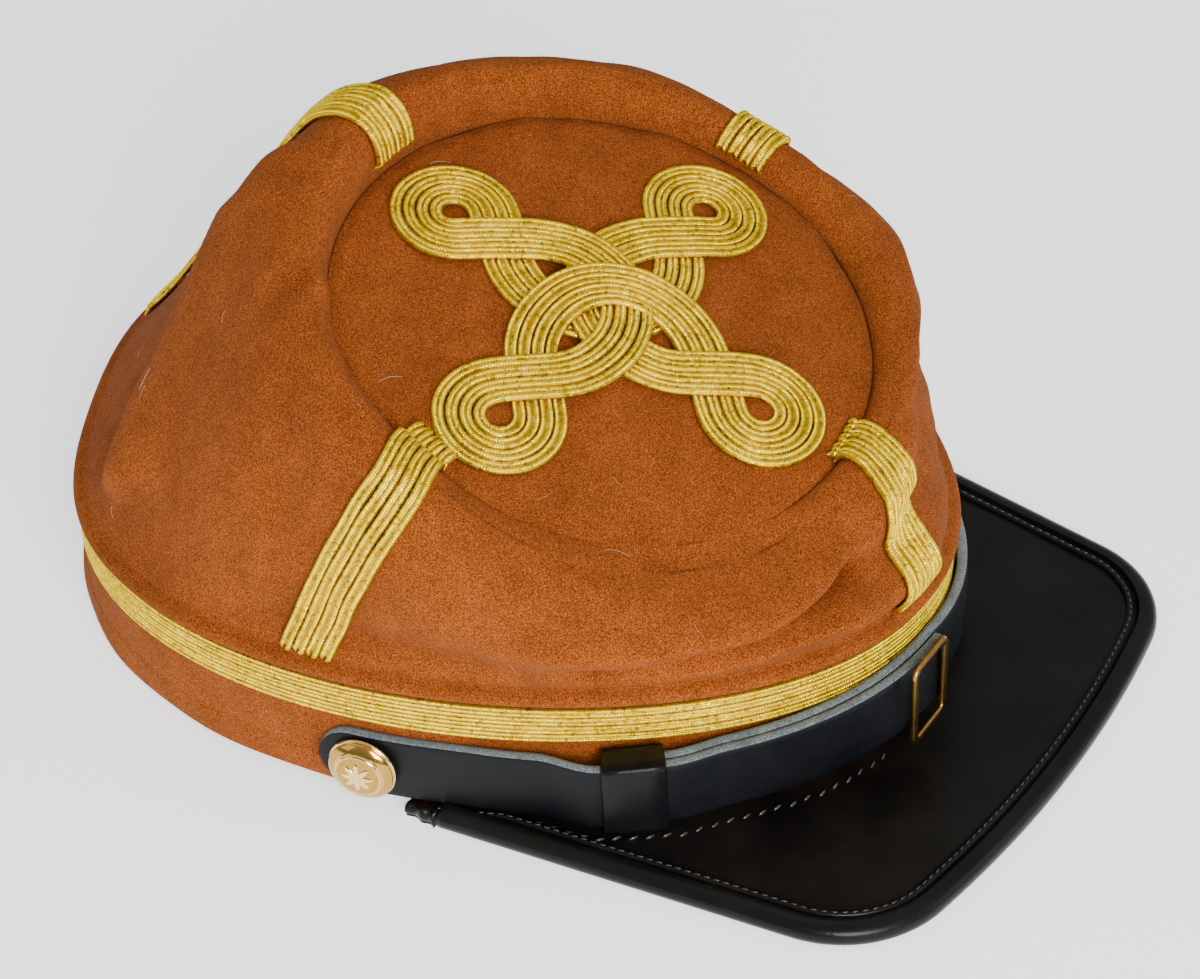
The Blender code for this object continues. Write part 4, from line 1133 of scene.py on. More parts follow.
@dataclass
class GoldBraid:
    """The braid: flat cords side by side, each two ribs of slanting threads."""

    build: Builder
    crown: WoolCrown
    threads: ThreadRun
    cord_count: int = 4
    cord_width: float = 0.0031
    cord_height: float = 0.0013
    band_braid_width: float = 0.0088
    knot_cord_width: float = 0.0029
    knot_reach: float = 0.0397
    knot_loop_radius: float = 0.0086
    knot_arch_radius: float = 0.019
    knot_arch_shift: float = 0.0152
    knot_lift: float = 0.00115
    thread_pitch: float = 0.00062
    wall_shares: tuple[float, ...] = (0.05, 0.15, 0.26, 0.38, 0.50, 0.62, 0.74, 0.86, 0.94, 1.0, 1.33, 1.67)

    def places(self, width: float) -> Array:
        """Return how far each cord's middle lies from the braid's own."""
        return (np.arange(self.cord_count) - (self.cord_count - 1) / 2) * width

    def band_lines(self) -> list[CordLine]:
        """Return the cords' lines round the top of the band."""
        head = self.crown.head
        azimuths = np.arange(420) * 360.0 / 420
        width = self.band_braid_width / self.cord_count
        lines = []
        for place in self.places(width):
            height = head.band_height - self.band_braid_width / 2 + place
            points = head.at(azimuths, GAP, height)
            lines.append(CordLine(points, head.outward(azimuths), True))
        return lines

    def wall_lines(self, run: dict[str, Any]) -> list[CordLine]:
        """Return the cords' lines from the welt up over the rim.

        Args:
            run: The braid's row of the table.

        Returns:
            One line for each cord.
        """
        spread = (run["foot"] - run["top"] + 180) % 360 - 180
        wall = np.linspace(0.01, 1.0, 60, endpoint=False)
        shares = np.concatenate([wall, np.linspace(1.0, run["end"], 26)])
        progress = np.interp(shares, self.wall_shares, np.linspace(0.0, 1.0, len(self.wall_shares)))
        middle = run["foot"] - spread * progress
        ends = [self.crown.outside(middle + step, shares) for step in (-1.0, 1.0)]
        metres = np.linalg.norm(ends[1] - ends[0], axis=1) / 2
        top = self.crown.top
        lines = []
        for place in self.places(self.cord_width):
            azimuth = middle + place / metres
            normal = self.crown.normal(azimuth, shares)
            points = self.crown.outside(azimuth, shares) + GAP * normal
            if run["onto_top"]:
                radius = top.diameter / 2 - np.linspace(0.0006, run["onto_top"], 6)
                rise = top.rise(azimuth[-1], radius) + 2 * GAP
                points = np.vstack([points, top.at(azimuth[-1], radius, rise)])
                normal = np.vstack([normal, np.broadcast_to(top.axes()[2], (6, 3))])
            for _ in range(3):
                points[1:-1] = (points[:-2] + 2 * points[1:-1] + points[2:]) / 4
                normal[1:-1] = (normal[:-2] + 2 * normal[1:-1] + normal[2:]) / 4
            points = points + 0.0002 * unit(normal)
            # The cut ends are tucked into the cloth
            for index, sunk in ((0, 0.0014), (1, 0.0005), (-1, 0.0014), (-2, 0.0005)):
                points[index] -= sunk * normal[index]
            lines.append(CordLine(points, unit(normal), False))
        return lines

    def knot_middle(self) -> Array:
        """Return the knot's closed middle line in its own square."""
        corner = self.knot_reach / math.sqrt(2)
        loop = np.radians(np.linspace(45.0, 180.0, 16))
        arch = np.radians(np.linspace(0.0, 90.0, 16))
        loop_side = corner + self.knot_loop_radius * np.stack([np.cos(loop), np.sin(loop)], 1)
        arch_side = self.knot_arch_radius * np.stack([np.cos(arch), -np.sin(arch)], 1)
        half = np.concatenate([loop_side, arch_side + (0.0, self.knot_arch_shift)])
        quarter = np.vstack([half, (half * (-1, 1))[-2::-1]])
        whole = []
        for turn in range(4):
            angle = turn * math.pi / 2
            spin = np.array([[math.cos(angle), math.sin(angle)], [-math.sin(angle), math.cos(angle)]])
            whole.append((quarter @ spin)[:-1])
        # The quarters follow each other where the end of one is the start of the next
        order = [whole[0]]
        left = whole[1:]
        while left:
            tip = order[-1][-1]
            nearest = min(range(len(left)), key=lambda k: float(np.linalg.norm(left[k][0] - tip)))
            order.append(left.pop(nearest))
        line = resampled(np.vstack(order), 0.0009, True)
        for _ in range(6):
            line = (np.roll(line, 1, 0) + 2 * line + np.roll(line, -1, 0)) / 4
        return line

    def heights(self, count: int) -> Array:
        """Return how high the knot's ribbon lies along its line, where its quarters pass over each other.

        Args:
            count: How many points the line has.

        Returns:
            A height for each point.
        """
        places = np.arange(count) * 4.0 / count
        quarter = places.astype(int)
        middle = np.abs(places - quarter - 0.5) * 2
        layers = np.stack([np.interp(middle, KNOT_STOPS, row["layers"]) for row in KNOT_QUARTERS])
        lift = layers[quarter, np.arange(count)]
        for _ in range(8):
            lift = (np.roll(lift, 1) + 2 * lift + np.roll(lift, -1)) / 4
        return self.knot_lift * lift

    def knot_lines(self) -> list[CordLine]:
        """Return the cords' lines of the knot, which pass over and under each other."""
        middle = self.knot_middle()
        along = unit(np.roll(middle, -1, 0) - np.roll(middle, 1, 0))
        sideways = np.stack([-along[:, 1], along[:, 0]], 1)
        cords = np.stack([middle + place * sideways for place in self.places(self.knot_cord_width)])
        top = self.crown.top
        lines = []
        lift = self.heights(len(middle))
        for cord in cords:
            radius = np.hypot(cord[:, 0], cord[:, 1])
            azimuth = np.degrees(np.arctan2(cord[:, 0], cord[:, 1])) + 45.0
            points = top.at(azimuth, radius, top.rise(azimuth, radius) + GAP + lift)
            lines.append(CordLine(points, np.broadcast_to(top.axes()[2], points.shape), True))
        return lines

    def cord(self, name: str, line: CordLine, width: float) -> bpy.types.Object:
        """Build one cord's body, a flat strip with a groove along its middle.

        Args:
            name: The piece's name.
            line: The cord's middle line.
            width: Its width.

        Returns:
            The cord.
        """
        section = (
            (-0.49, 0.0), (-0.47, 0.45), (-0.38, 0.78), (-0.25, 0.88), (-0.12, 0.74), (0.0, 0.46),
            (0.12, 0.74), (0.25, 0.88), (0.38, 0.78), (0.47, 0.45), (0.49, 0.0),
        )
        sideways = line.sideways()
        rows = [
            line.points + place * width * sideways + share * self.cord_height * line.upward
            for place, share in section
        ]
        return self.build.grid(name, np.stack(rows, 1), close_rows=line.closed)

    def ribs(self, lines: Sequence[CordLine], width: float) -> bpy.types.Object:
        """Return the lines that the ribs' threads follow, two for each cord."""
        rows = []
        for line in lines:
            sideways = line.sideways()
            for hand in (-1.0, 1.0):
                rib = line.points + hand * 0.25 * width * sideways + 0.80 * self.cord_height * line.upward
                rows.append((rib, line.upward, hand, line.closed))
        return self.build.guide(rows)

    def lay(self, node: str, lines: Sequence[CordLine], width: float, body: Any, thread: Any) -> None:
        """Build a run of braid.

        Args:
            node: The part's node that it stands for.
            lines: Its cords' lines.
            width: A cord's width.
            body: The material of the cords' bodies.
            thread: The material of their threads.
        """
        cords = [self.cord(f"{node}_cord", line, width) for line in lines]
        self.build.finish(self.build.joined(f"{node}_cords", cords), Slot.GOLD, [body], [node])
        guide = self.ribs(lines, width)
        values = {
            "Pitch": self.thread_pitch,
            "Slant": math.radians(38.0),
            "Length": 0.62 * width,
            "Width": 0.00074,
            "Height": 0.00056,
            "Material": thread,
        }
        self.build.finish(self.threads.run(f"{node}_threads", guide, values), Slot.GOLD, [])
        bpy.data.objects.remove(guide)

    def dress(self) -> None:
        """Build every run of braid."""
        # The bright colour of each finish paints glints on a few threads
        body = GoldFinish(
            "gold_braid_body", deep=(0.24, 0.12, 0.0), plain=(0.60, 0.37, 0.0), bright=(0.85, 0.60, 0.01)
        ).material()
        thread = GoldFinish(
            "gold_thread", deep=(0.52, 0.32, 0.0), plain=(1.00, 0.72, 0.0), bright=(1.00, 0.92, 0.12)
        ).material()
        width = self.band_braid_width / self.cord_count
        self.lay("band_braid", self.band_lines(), width, body, thread)
        for run in WALL_BRAIDS:
            self.lay(run["node"], self.wall_lines(run), self.cord_width, body, thread)
        self.lay("top_knot", self.knot_lines(), self.knot_cord_width, body, thread)


@dataclass
class LeatherPeak:
    """The peak: a flat plate, its rolled binding with stitches, the gathered ends and the seam's stitches."""

    build: Builder
    threads: ThreadRun
    strap: FrontStrap
    head: HeadLine = field(default_factory=HeadLine)
    reach: float = 0.0370
    root_azimuth: float = 70.0
    tuck_azimuth: float = 75.0
    width: float = 0.140
    side_spread: float = 8.4
    corner_radius: float = 0.027
    front_turn: float = 9.6
    thickness: float = 0.0028
    binding_width: float = 0.0068
    binding_roll: float = 0.0026
    binding_wall: float = 0.0010
    strap_room: float = 0.0038
    seam_azimuth: float = 62.0
    pleats: int = 2

    def __post_init__(self) -> None:
        """Work out the heights of the peak's faces."""
        self.bottom = self.binding_wall + GAP
        self.top = self.bottom + self.thickness
        self.binding_top = self.top + GAP + self.binding_wall

    def outline(self, steps: int) -> tuple[Array, Array]:
        """Return the peak's edge from its right root round to its left one, and the directions outwards.

        Args:
            steps: How many points each arc and side has.

        Returns:
            The points and the directions, in plan.
        """
        front = -(self.head.length / 2 + self.reach)
        root_y = float(self.head.at(self.root_azimuth, 0.0, 0.0)[1])
        bow = math.radians(self.front_turn)
        side = math.radians(90 - self.side_spread)
        corner_x = self.width / 2 - self.corner_radius * math.sin(side)
        bow_radius = corner_x / math.sin(bow) + self.corner_radius
        corner_y = front + bow_radius - (bow_radius - self.corner_radius) * math.cos(bow)
        arc = np.linspace(0.0, bow, steps, endpoint=False)
        corner = np.linspace(bow, side, 2 * steps)
        start_x = corner_x + self.corner_radius * math.sin(side)
        start_y = corner_y - self.corner_radius * math.cos(side)
        along = np.linspace(0.0, root_y - start_y, 2 * steps)[1:]
        bow_arc = np.stack([bow_radius * np.sin(arc), front + bow_radius * (1 - np.cos(arc))], 1)
        corner_arc = self.corner_radius * np.stack([np.sin(corner), -np.cos(corner)], 1)
        straight = np.stack([start_x + along / math.tan(side), start_y + along], 1)
        points = np.concatenate([bow_arc, corner_arc + (corner_x, corner_y), straight])
        turn = np.concatenate([arc, corner, np.full(len(along), side)])
        outward = np.stack([np.sin(turn), -np.cos(turn)], 1)
        mirror = np.array([-1.0, 1.0])
        return (
            np.concatenate([points[:0:-1] * mirror, points]),
            np.concatenate([outward[:0:-1] * mirror, outward]),
        )

    def plate(self) -> bpy.types.Object:
        """Build the flat plate between the band and the binding, with slight waves in the leather."""
        points, outward = self.outline(26)
        outer = points - self.binding_roll * outward
        azimuths = np.linspace(-self.root_azimuth, self.root_azimuth, len(points))
        inner = self.head.at(azimuths, GAP, 0.0)[:, :2]
        shares = np.linspace(0.0, 1.0, 26)[None, :, None]
        plan = inner[:, None] * (1 - shares) + outer[:, None] * shares
        wave = 0.00022 * np.sin(plan[..., 0] * 95 + 1.0) * np.sin(plan[..., 1] * 120)
        fade = np.sin(np.pi * shares[..., 0]) ** 0.5
        over = np.concatenate([plan, (self.top - 0.00025 * fade + wave * fade)[..., None]], -1)
        under = np.concatenate([plan, np.full((*plan.shape[:2], 1), self.bottom)], -1)[:, ::-5]
        return self.build.grid("leather_peak_plate", np.concatenate([over, under], 1), level=True)

    def laps(self, points: Array) -> Array:
        """Return how far the binding's lap reaches in at each point of the outline."""
        room = np.array([abs(x) - self.head.half_width(y) - self.strap_room for x, y in points])
        beside = points[:, 1] > -self.head.length / 2
        return np.where(beside, np.minimum(self.binding_width, room), self.binding_width)

    def binding(self) -> bpy.types.Object:
        """Build the binding: a round roll outside, and a lap sewn down on the plate."""
        points, outward = self.outline(40)
        radius = self.binding_top / 2
        lap_top = self.binding_top - 0.00045
        laps = self.laps(points)
        fold = GAP - self.binding_roll
        section = [(-laps, self.top + GAP), (-laps, lap_top - 0.0004), (-0.94 * laps, lap_top)]
        section += [(-0.65 * laps, lap_top), (-1.75 * radius, lap_top - 0.0001)]
        for angle in np.radians(np.linspace(90.0, -90.0, 13)):
            inset = radius * (1 - math.cos(angle) + 0.35 * max(math.sin(angle), 0.0) ** 6)
            section.append((-inset, radius * (1 + math.sin(angle))))
        section += [(-laps, 0.0), (-laps, self.bottom - GAP)]
        section += [(fold, self.bottom - GAP), (fold, self.top + GAP)]
        grid = []
        for distance, height in section:
            plan = points + np.broadcast_to(distance, len(points))[:, None] * outward
            grid.append(np.column_stack([plan, np.full(len(points), height)]))
        return self.build.grid("leather_binding", np.stack(grid, 1), level=True)

    def tuck(self, name: str, side: float) -> bpy.types.Object:
        """Build a gathered end of the binding, which tapers away along the band.

        Args:
            name: The piece's name.
            side: 1 for the wearer's left and -1 for the right.

        Returns:
            The piece.
        """
        root_x, root_y = self.outline(8)[0][-1]
        start = root_y + self.binding_width * math.sin(math.radians(self.side_spread)) + GAP
        tuck = self.head.at(self.tuck_azimuth, GAP, 0.0)
        sections = []
        for along in np.linspace(0.0, 1.0, 60):
            y = start + along * (tuck[1] - start)
            inner = self.head.half_width(y) + 2 * GAP
            pleat = 0.5 + 0.5 * math.cos(2 * math.pi * self.pleats * along**0.8)
            outer = root_x + along * (tuck[0] + 0.5 * self.binding_width - root_x) - 0.0006 * (1 - pleat)
            top = self.binding_top * (0.80 - 0.18 * along) * (0.86 + 0.14 * pleat)
            row = [(inner, 0.0), (outer - 0.15 * top, 0.0)]
            for angle in np.radians(np.linspace(-60, 90, 7)):
                rounding = 0.35 * top * (1 - math.cos(angle))
                row.append((outer - rounding, top * (0.55 + 0.45 * math.sin(angle))))
            row.append((inner, top * 0.9))
            sections.append([(side * x, y, z) for x, z in row])
        return self.build.grid(name, np.array(sections), level=True)

    def sew(self, name: str, line: Array, values: dict[str, Any]) -> None:
        """Lay a row of stitches along a line on the peak."""
        up = np.broadcast_to([0.0, 0.0, 1.0], line.shape)
        guide = self.build.guide([(line, up, 1.0, False)], level=True)
        self.build.finish(self.threads.run(name, guide, values), Slot.PEAK, [])
        bpy.data.objects.remove(guide)

    def stitches(self, thread: bpy.types.Material) -> None:
        """Sew the binding's lap down, and the plate to the band."""
        points, outward = self.outline(40)
        inward = (self.laps(points) - 0.0009)[:, None]
        height = np.full((len(points), 1), self.binding_top - 0.00042)
        lap = np.concatenate([points - inward * outward, height], 1)
        values = {"Pitch": 0.0021, "Slant": 0.12, "Length": 0.0017, "Width": 0.00042, "Height": 0.0004}
        values["Material"] = thread
        self.sew("binding_stitches", lap, values)
        azimuths = np.linspace(-self.seam_azimuth, self.seam_azimuth, 200)
        # The buckle hides the seam in the middle
        azimuths = azimuths[azimuths < self.strap.buckle_azimuth - 6.0]
        clearance = np.maximum(self.strap.foot(azimuths) - self.top, 0.0)
        wander = 0.00025 * np.sin(3.1 * azimuths) + 0.0002 * np.sin(1.3 * azimuths + 1.0)
        offset = self.strap.face(azimuths) + 0.0009 - 1.05 * clearance + wander
        seam = self.head.at(azimuths, offset, self.top - 0.00005)
        values |= {"Pitch": 0.0036, "Slant": 0.45, "Length": 0.0027, "Width": 0.0007, "Height": 0.0009}
        self.sew("peak_seam_stitches", seam, values)

    def dress(self) -> None:
        """Build the peak's pieces."""
        hide = LeatherFinish(
            "peak_leather_grain", (0.0034, 0.0028, 0.0023), (0.0080, 0.0064, 0.0052), gloss=0.34, dull=0.48
        ).material()
        edge = LeatherFinish(
            "binding_leather", (0.0036, 0.0034, 0.0033), (0.0075, 0.0068, 0.0062), gloss=0.27, dull=0.40
        ).material()
        thread = FibreFinish("waxed_thread", (0.050, 0.047, 0.046), 0.22).material()
        self.build.finish(self.plate(), Slot.PEAK, [hide], ["peak"])
        self.build.finish(self.binding(), Slot.PEAK, [edge], ["peak_binding"])
        for name, side in (("left", 1.0), ("right", -1.0)):
            piece = self.tuck(f"pleated_tuck_{name}", side)
            self.build.finish(piece, Slot.PEAK, [edge], [f"binding_tuck_{name}"])
        self.stitches(thread)


@dataclass
class FrontStrap:
    """The front strap: two layers of leather, the keeper, the buckle and the buttons at the ends."""

    build: Builder
    head: HeadLine = field(default_factory=HeadLine)
    width: float = 0.0155
    thickness: float = 0.0022
    height: float = 0.0098
    rise: float = 0.0070
    lift_start: float = 8.0
    tail: float = 0.0105
    braid_gap: float = 0.0004
    braid_thickness: float = 0.0016
    button_azimuth: float = 80.0
    button_diameter: float = 0.0152
    button_dome: float = 0.0034
    button_rim: float = 0.0010
    keeper_azimuth: float = -48.5
    keeper_width: float = 0.0125
    keeper_thickness: float = 0.0012
    keeper_squareness: float = 0.86
    buckle_azimuth: float = -6.0
    buckle_width: float = 0.0150
    buckle_height: float = 0.0212
    buckle_bar: float = 0.0019
    buckle_turn: float = 10.0
    buckle_thickness: float = 0.0010
    buckle_corner: float = 0.0027

    def keeper_spread(self) -> float:
        """Return how many degrees round the band the keeper covers."""
        return self.head.degrees_for(self.keeper_azimuth, self.keeper_width)

    def middle(self, azimuth: Array) -> Array:
        """Return the height of the strap's middle line, which climbs towards the front."""
        share = np.clip(1 - np.abs(azimuth) / self.button_azimuth, 0.0, 1.0)
        return self.height + self.rise * share**1.6

    def back(self, azimuth: Array) -> Array:
        """Return how far the back of the inner strap stands off the band."""
        spread = self.keeper_spread()
        low, high = self.lift_start - self.button_azimuth, self.keeper_azimuth - spread
        over_braid = smooth_step(-np.abs(azimuth), low, high)
        over_keeper = 1 - smooth_step(np.abs(azimuth - self.keeper_azimuth), 0.6 * spread, 1.6 * spread)
        room = (self.braid_thickness + GAP) * over_braid + (self.keeper_thickness + GAP) * over_keeper
        return self.braid_gap + room

    def outer_back(self, azimuth: Array) -> Array:
        """Return how far the back of the outer strap stands off the band."""
        start = self.keeper_azimuth - self.keeper_spread() / 2
        over = smooth_step(azimuth, start - self.keeper_spread(), start)
        return self.back(azimuth) + (self.thickness + GAP) * over

    def face(self, azimuth: Array) -> Array:
        """Return how far the strap's front face stands off the band."""
        return self.outer_back(azimuth) + self.thickness

    def foot(self, azimuth: Array) -> Array:
        """Return the height of the strap's lower edge."""
        return self.middle(azimuth) - self.width / 2

    def layer(self, name: str, end: float, other: float, back: Callable[[Array], Array]) -> bpy.types.Object:
        """Build one layer of the strap.

        Args:
            name: The piece's name.
            end: The azimuth of its rounded end.
            other: The azimuth of its other end.
            back: How far its back stands off the band at an azimuth.

        Returns:
            The layer, whose cut edges and back have the second material.
        """
        forward = math.copysign(1.0, other - end)
        half = self.width / 2
        rounding = forward * self.head.degrees_for(end, half)
        turns = np.radians(np.linspace(6.0, 88.0, 14))
        straight = np.linspace(end + rounding, other, 170)
        azimuths = np.concatenate([end + rounding * (1 - np.cos(turns)), straight])
        halves = np.concatenate([half * np.sin(turns), np.full(len(straight), half)])
        middle, off = self.middle(azimuths), back(azimuths)
        thick, ease = self.thickness, 0.00045
        section = [(0.0, -1.0, 0.0), (thick - ease, -1.0, 0.0), (thick - 0.3 * ease, -1.0, 0.3 * ease)]
        section += [(thick, -1.0, ease), (thick, -1.0, 0.0016), (thick + 0.0002, 0.0, 0.0)]
        section += [(thick, 1.0, -0.0016), (thick, 1.0, -ease), (thick - 0.3 * ease, 1.0, -0.3 * ease)]
        section += [(thick - ease, 1.0, 0.0), (0.5 * thick, 1.0, 0.00012), (0.0, 1.0, 0.0)]
        columns = []
        for out, side, inset in section:
            up = side * np.maximum(halves - abs(inset) * (inset * side < 0), 0.0)
            up = up + (inset if inset * side > 0 else 0.0)
            columns.append(self.head.at(azimuths, off + out, middle + up))
        piece = self.build.grid(name, np.stack(columns, 1))
        leather_columns = set(range(2, 8))
        count = len(section)
        for index, face in enumerate(piece.data.polygons):
            row, column = divmod(index, count)
            cut = row >= len(azimuths) - 1 or column not in leather_columns
            face.material_index = 1 if cut else 0
        return piece

    def keeper(self) -> bpy.types.Object:
        """Build the loop round both layers, with rounded corners and edges."""
        spread = self.keeper_spread()
        angles = np.linspace(0.0, 2 * math.pi, 72, endpoint=False)
        edge = 0.35 * self.keeper_thickness
        section = [(-0.5, 0.0, 0.0), (-0.5, 1.0, -edge), (-0.47, 1.0, 0.0), (-0.2, 1.0, 0.0)]
        section += [(0.2, 1.0, 0.0), (0.47, 1.0, 0.0), (0.5, 1.0, -edge), (0.5, 0.0, 0.0)]
        section += [(0.2, 0.0, 0.0), (-0.2, 0.0, 0.0)]
        # A rounded rectangle: a circle pushed out towards its square
        square = np.maximum(np.abs(np.cos(angles)), np.abs(np.sin(angles)))
        squareness = self.keeper_squareness
        radius = 1.0 / (squareness * square + (1 - squareness) * np.maximum(square, 0.94))
        columns = []
        for share, side, ease in section:
            azimuth = self.keeper_azimuth + spread * share
            back = float(self.back(azimuth)) - GAP
            face = float(self.outer_back(azimuth)) + self.thickness + GAP
            grow = side * self.keeper_thickness + ease
            half_x, half_z = (face - back) / 2 + grow, self.width / 2 + GAP + grow
            x = np.clip(radius * np.cos(angles), -1, 1) * half_x
            z = np.clip(radius * np.sin(angles), -1, 1) * half_z
            out = (face + back) / 2 + x
            columns.append(self.head.at(azimuth, out, float(self.middle(azimuth)) + z))
        return self.build.grid("keeper_loop", np.stack(columns, 1), close_rows=True)

    def directions(self, azimuth: float, turned: float = 0.0) -> tuple[Array, Array, Array]:
        """Return the ways across, up and out of the strap's face, turned further by an angle."""
        upward = np.array([0.0, 0.0, 1.0])
        straight = self.head.outward(azimuth)
        outward = math.cos(turned) * straight + math.sin(turned) * np.cross(upward, straight)
        return np.cross(upward, outward), upward, outward

    def buckle(self) -> bpy.types.Object:
        """Build the buckle: a flat frame with rounded corners, whose rims are worn bright."""
        azimuth = self.buckle_azimuth
        turned = math.radians(self.buckle_turn)
        reach = float(self.face(azimuth)) + GAP + 0.4 * self.buckle_width * math.sin(turned)
        centre = self.head.at(azimuth, reach, float(self.middle(azimuth)))
        sideways, upward, outward = self.directions(azimuth, turned)
        ease = 0.25 * self.buckle_thickness
        bar = self.buckle_bar
        rim = ((0.0, 0.0), (0.0, 0.7), (ease, 1.0), (bar - ease, 1.0), (bar, 0.7), (bar, 0.0))
        sections, worn = [], []
        for quarter, (side, up) in enumerate(((1, 1), (-1, 1), (-1, -1), (1, -1))):
            for step in range(13):
                turn = math.radians(90 * (quarter + step / 12))
                row = []
                for inset, depth in rim:
                    radius = max(self.buckle_corner - inset, 0.25 * self.buckle_corner)
                    x = side * (self.buckle_width / 2 - inset - radius) + radius * math.cos(turn)
                    z = up * (self.buckle_height / 2 - inset - radius) + radius * math.sin(turn)
                    row.append(centre + x * sideways + z * upward + depth * self.buckle_thickness * outward)
                    worn.append(1.0 if 0.5 < depth < 0.9 else 0.12)
                sections.append(row)
        piece = self.build.grid("buckle_frame", np.array(sections), close_rows=True)
        piece.data.attributes.new("edge_wear", "FLOAT", "POINT").data.foreach_set("value", worn)
        return piece

    def button(self, name: str, side: float) -> bpy.types.Object:
        """Build a domed button with a rolled rim, a plain ring and an eight-petalled rosette.

        Args:
            name: The piece's name.
            side: 1 for the wearer's left and -1 for the right.

        Returns:
            The button.
        """
        azimuth = side * self.button_azimuth
        reach = float(self.back(azimuth)) + self.thickness + GAP
        seat = self.head.at(azimuth, reach, float(self.middle(azimuth)))
        sideways, upward, outward = self.directions(azimuth)
        radius = self.button_diameter / 2
        turns = np.linspace(0.0, 2 * math.pi, 128, endpoint=False)[:, None]
        shares = np.linspace(0.02, 0.96, 56)[None, :]
        dome = self.button_rim + self.button_dome * np.sqrt(np.clip(1 - (shares * 0.99) ** 2, 0.0, 1.0))
        petal = 0.34 + 0.12 * np.cos(8 * turns)
        flower = 0.00022 * smooth_step(petal - shares, -0.03, 0.03) * smooth_step(shares, 0.10, 0.16)
        vein = -0.00010 * bump(np.sin(4 * turns), 0.22) * smooth_step(petal - shares, 0.0, 0.05)
        boss = 0.00020 * smooth_step(0.11 - shares, -0.03, 0.03)
        ring = 0.00020 * bump(shares - 0.66, 0.022) + 0.00012 * bump(shares - 0.73, 0.014)
        height = dome + flower + vein * smooth_step(shares, 0.12, 0.2) + boss + ring
        spokes = np.cos(turns)[..., None] * sideways + np.sin(turns)[..., None] * upward
        face = seat + height[..., None] * outward + (radius * shares)[..., None] * spokes
        rim = []
        for angle in np.radians(np.linspace(100.0, -90.0, 12)):
            out = radius - 0.00055 + 0.00055 * math.cos(angle)
            tall = self.button_rim + 0.00055 * math.sin(angle)
            rim.append(seat + tall * outward + out * spokes[:, 0])
        rim.append(seat + 0.0002 * outward + 0.8 * radius * spokes[:, 0])
        rim.append(seat + 0.6 * radius * spokes[:, 0])
        grid = np.concatenate([face, np.stack(rim, 1)], 1)
        top = seat + (self.button_rim + self.button_dome + 0.0002) * outward
        piece = self.build.grid(name, grid, close_rows=True, close_columns=False, poles=(top, seat))
        raised = (flower + boss + ring + 0 * turns) / 0.00022
        worn = np.concatenate([np.clip(raised, 0, 1), np.full((128, len(rim)), 0.7)], 1).ravel()
        worn = np.concatenate([worn, [0.5, 0.0]]).astype(np.float32)
        piece.data.attributes.new("edge_wear", "FLOAT", "POINT").data.foreach_set("value", worn)
        return piece

    def dress(self) -> None:
        """Build the strap's pieces."""
        fine = 1300.0
        leather = LeatherFinish(
            "strap_leather_face", (0.0026, 0.0030, 0.0040), (0.0055, 0.0064, 0.0082), 0.40, 0.54, fine
        ).material()
        glossy = LeatherFinish(
            "keeper_leather", (0.0028, 0.0030, 0.0036), (0.0060, 0.0064, 0.0076), 0.28, 0.40, fine
        ).material()
        suede = SuedeFinish("suede_edge", (0.060, 0.078, 0.088), (0.190, 0.230, 0.250)).material()
        brass = MetalFinish("button_brass", (0.52, 0.30, 0.06), (0.98, 0.74, 0.30), 0.10, 0.06).material()
        bronze = MetalFinish("buckle_brass", (0.090, 0.044, 0.012), (0.55, 0.33, 0.09), 0.36, 0.24).material()
        tail = self.button_azimuth + self.head.degrees_for(self.button_azimuth, self.tail)
        end = self.buckle_azimuth + self.head.degrees_for(self.buckle_azimuth, 0.46 * self.buckle_width)
        outer = self.layer("strap_outer_layer", -tail, end, self.outer_back)
        inner = self.layer("strap_inner_layer", tail, self.keeper_azimuth, self.back)
        self.build.finish(outer, Slot.STRAP, [leather, suede], ["strap_right"])
        self.build.finish(inner, Slot.STRAP, [leather, suede], ["strap_left"])
        self.build.finish(self.keeper(), Slot.STRAP, [glossy], ["strap_keeper"])
        self.build.finish(self.buckle(), Slot.BRONZE, [bronze], ["strap_buckle"])
        for name, side in (("left", 1.0), ("right", -1.0)):
            piece = self.button(f"domed_button_{name}", side)
            self.build.finish(piece, Slot.BRASS, [brass], [f"button_{name}"])


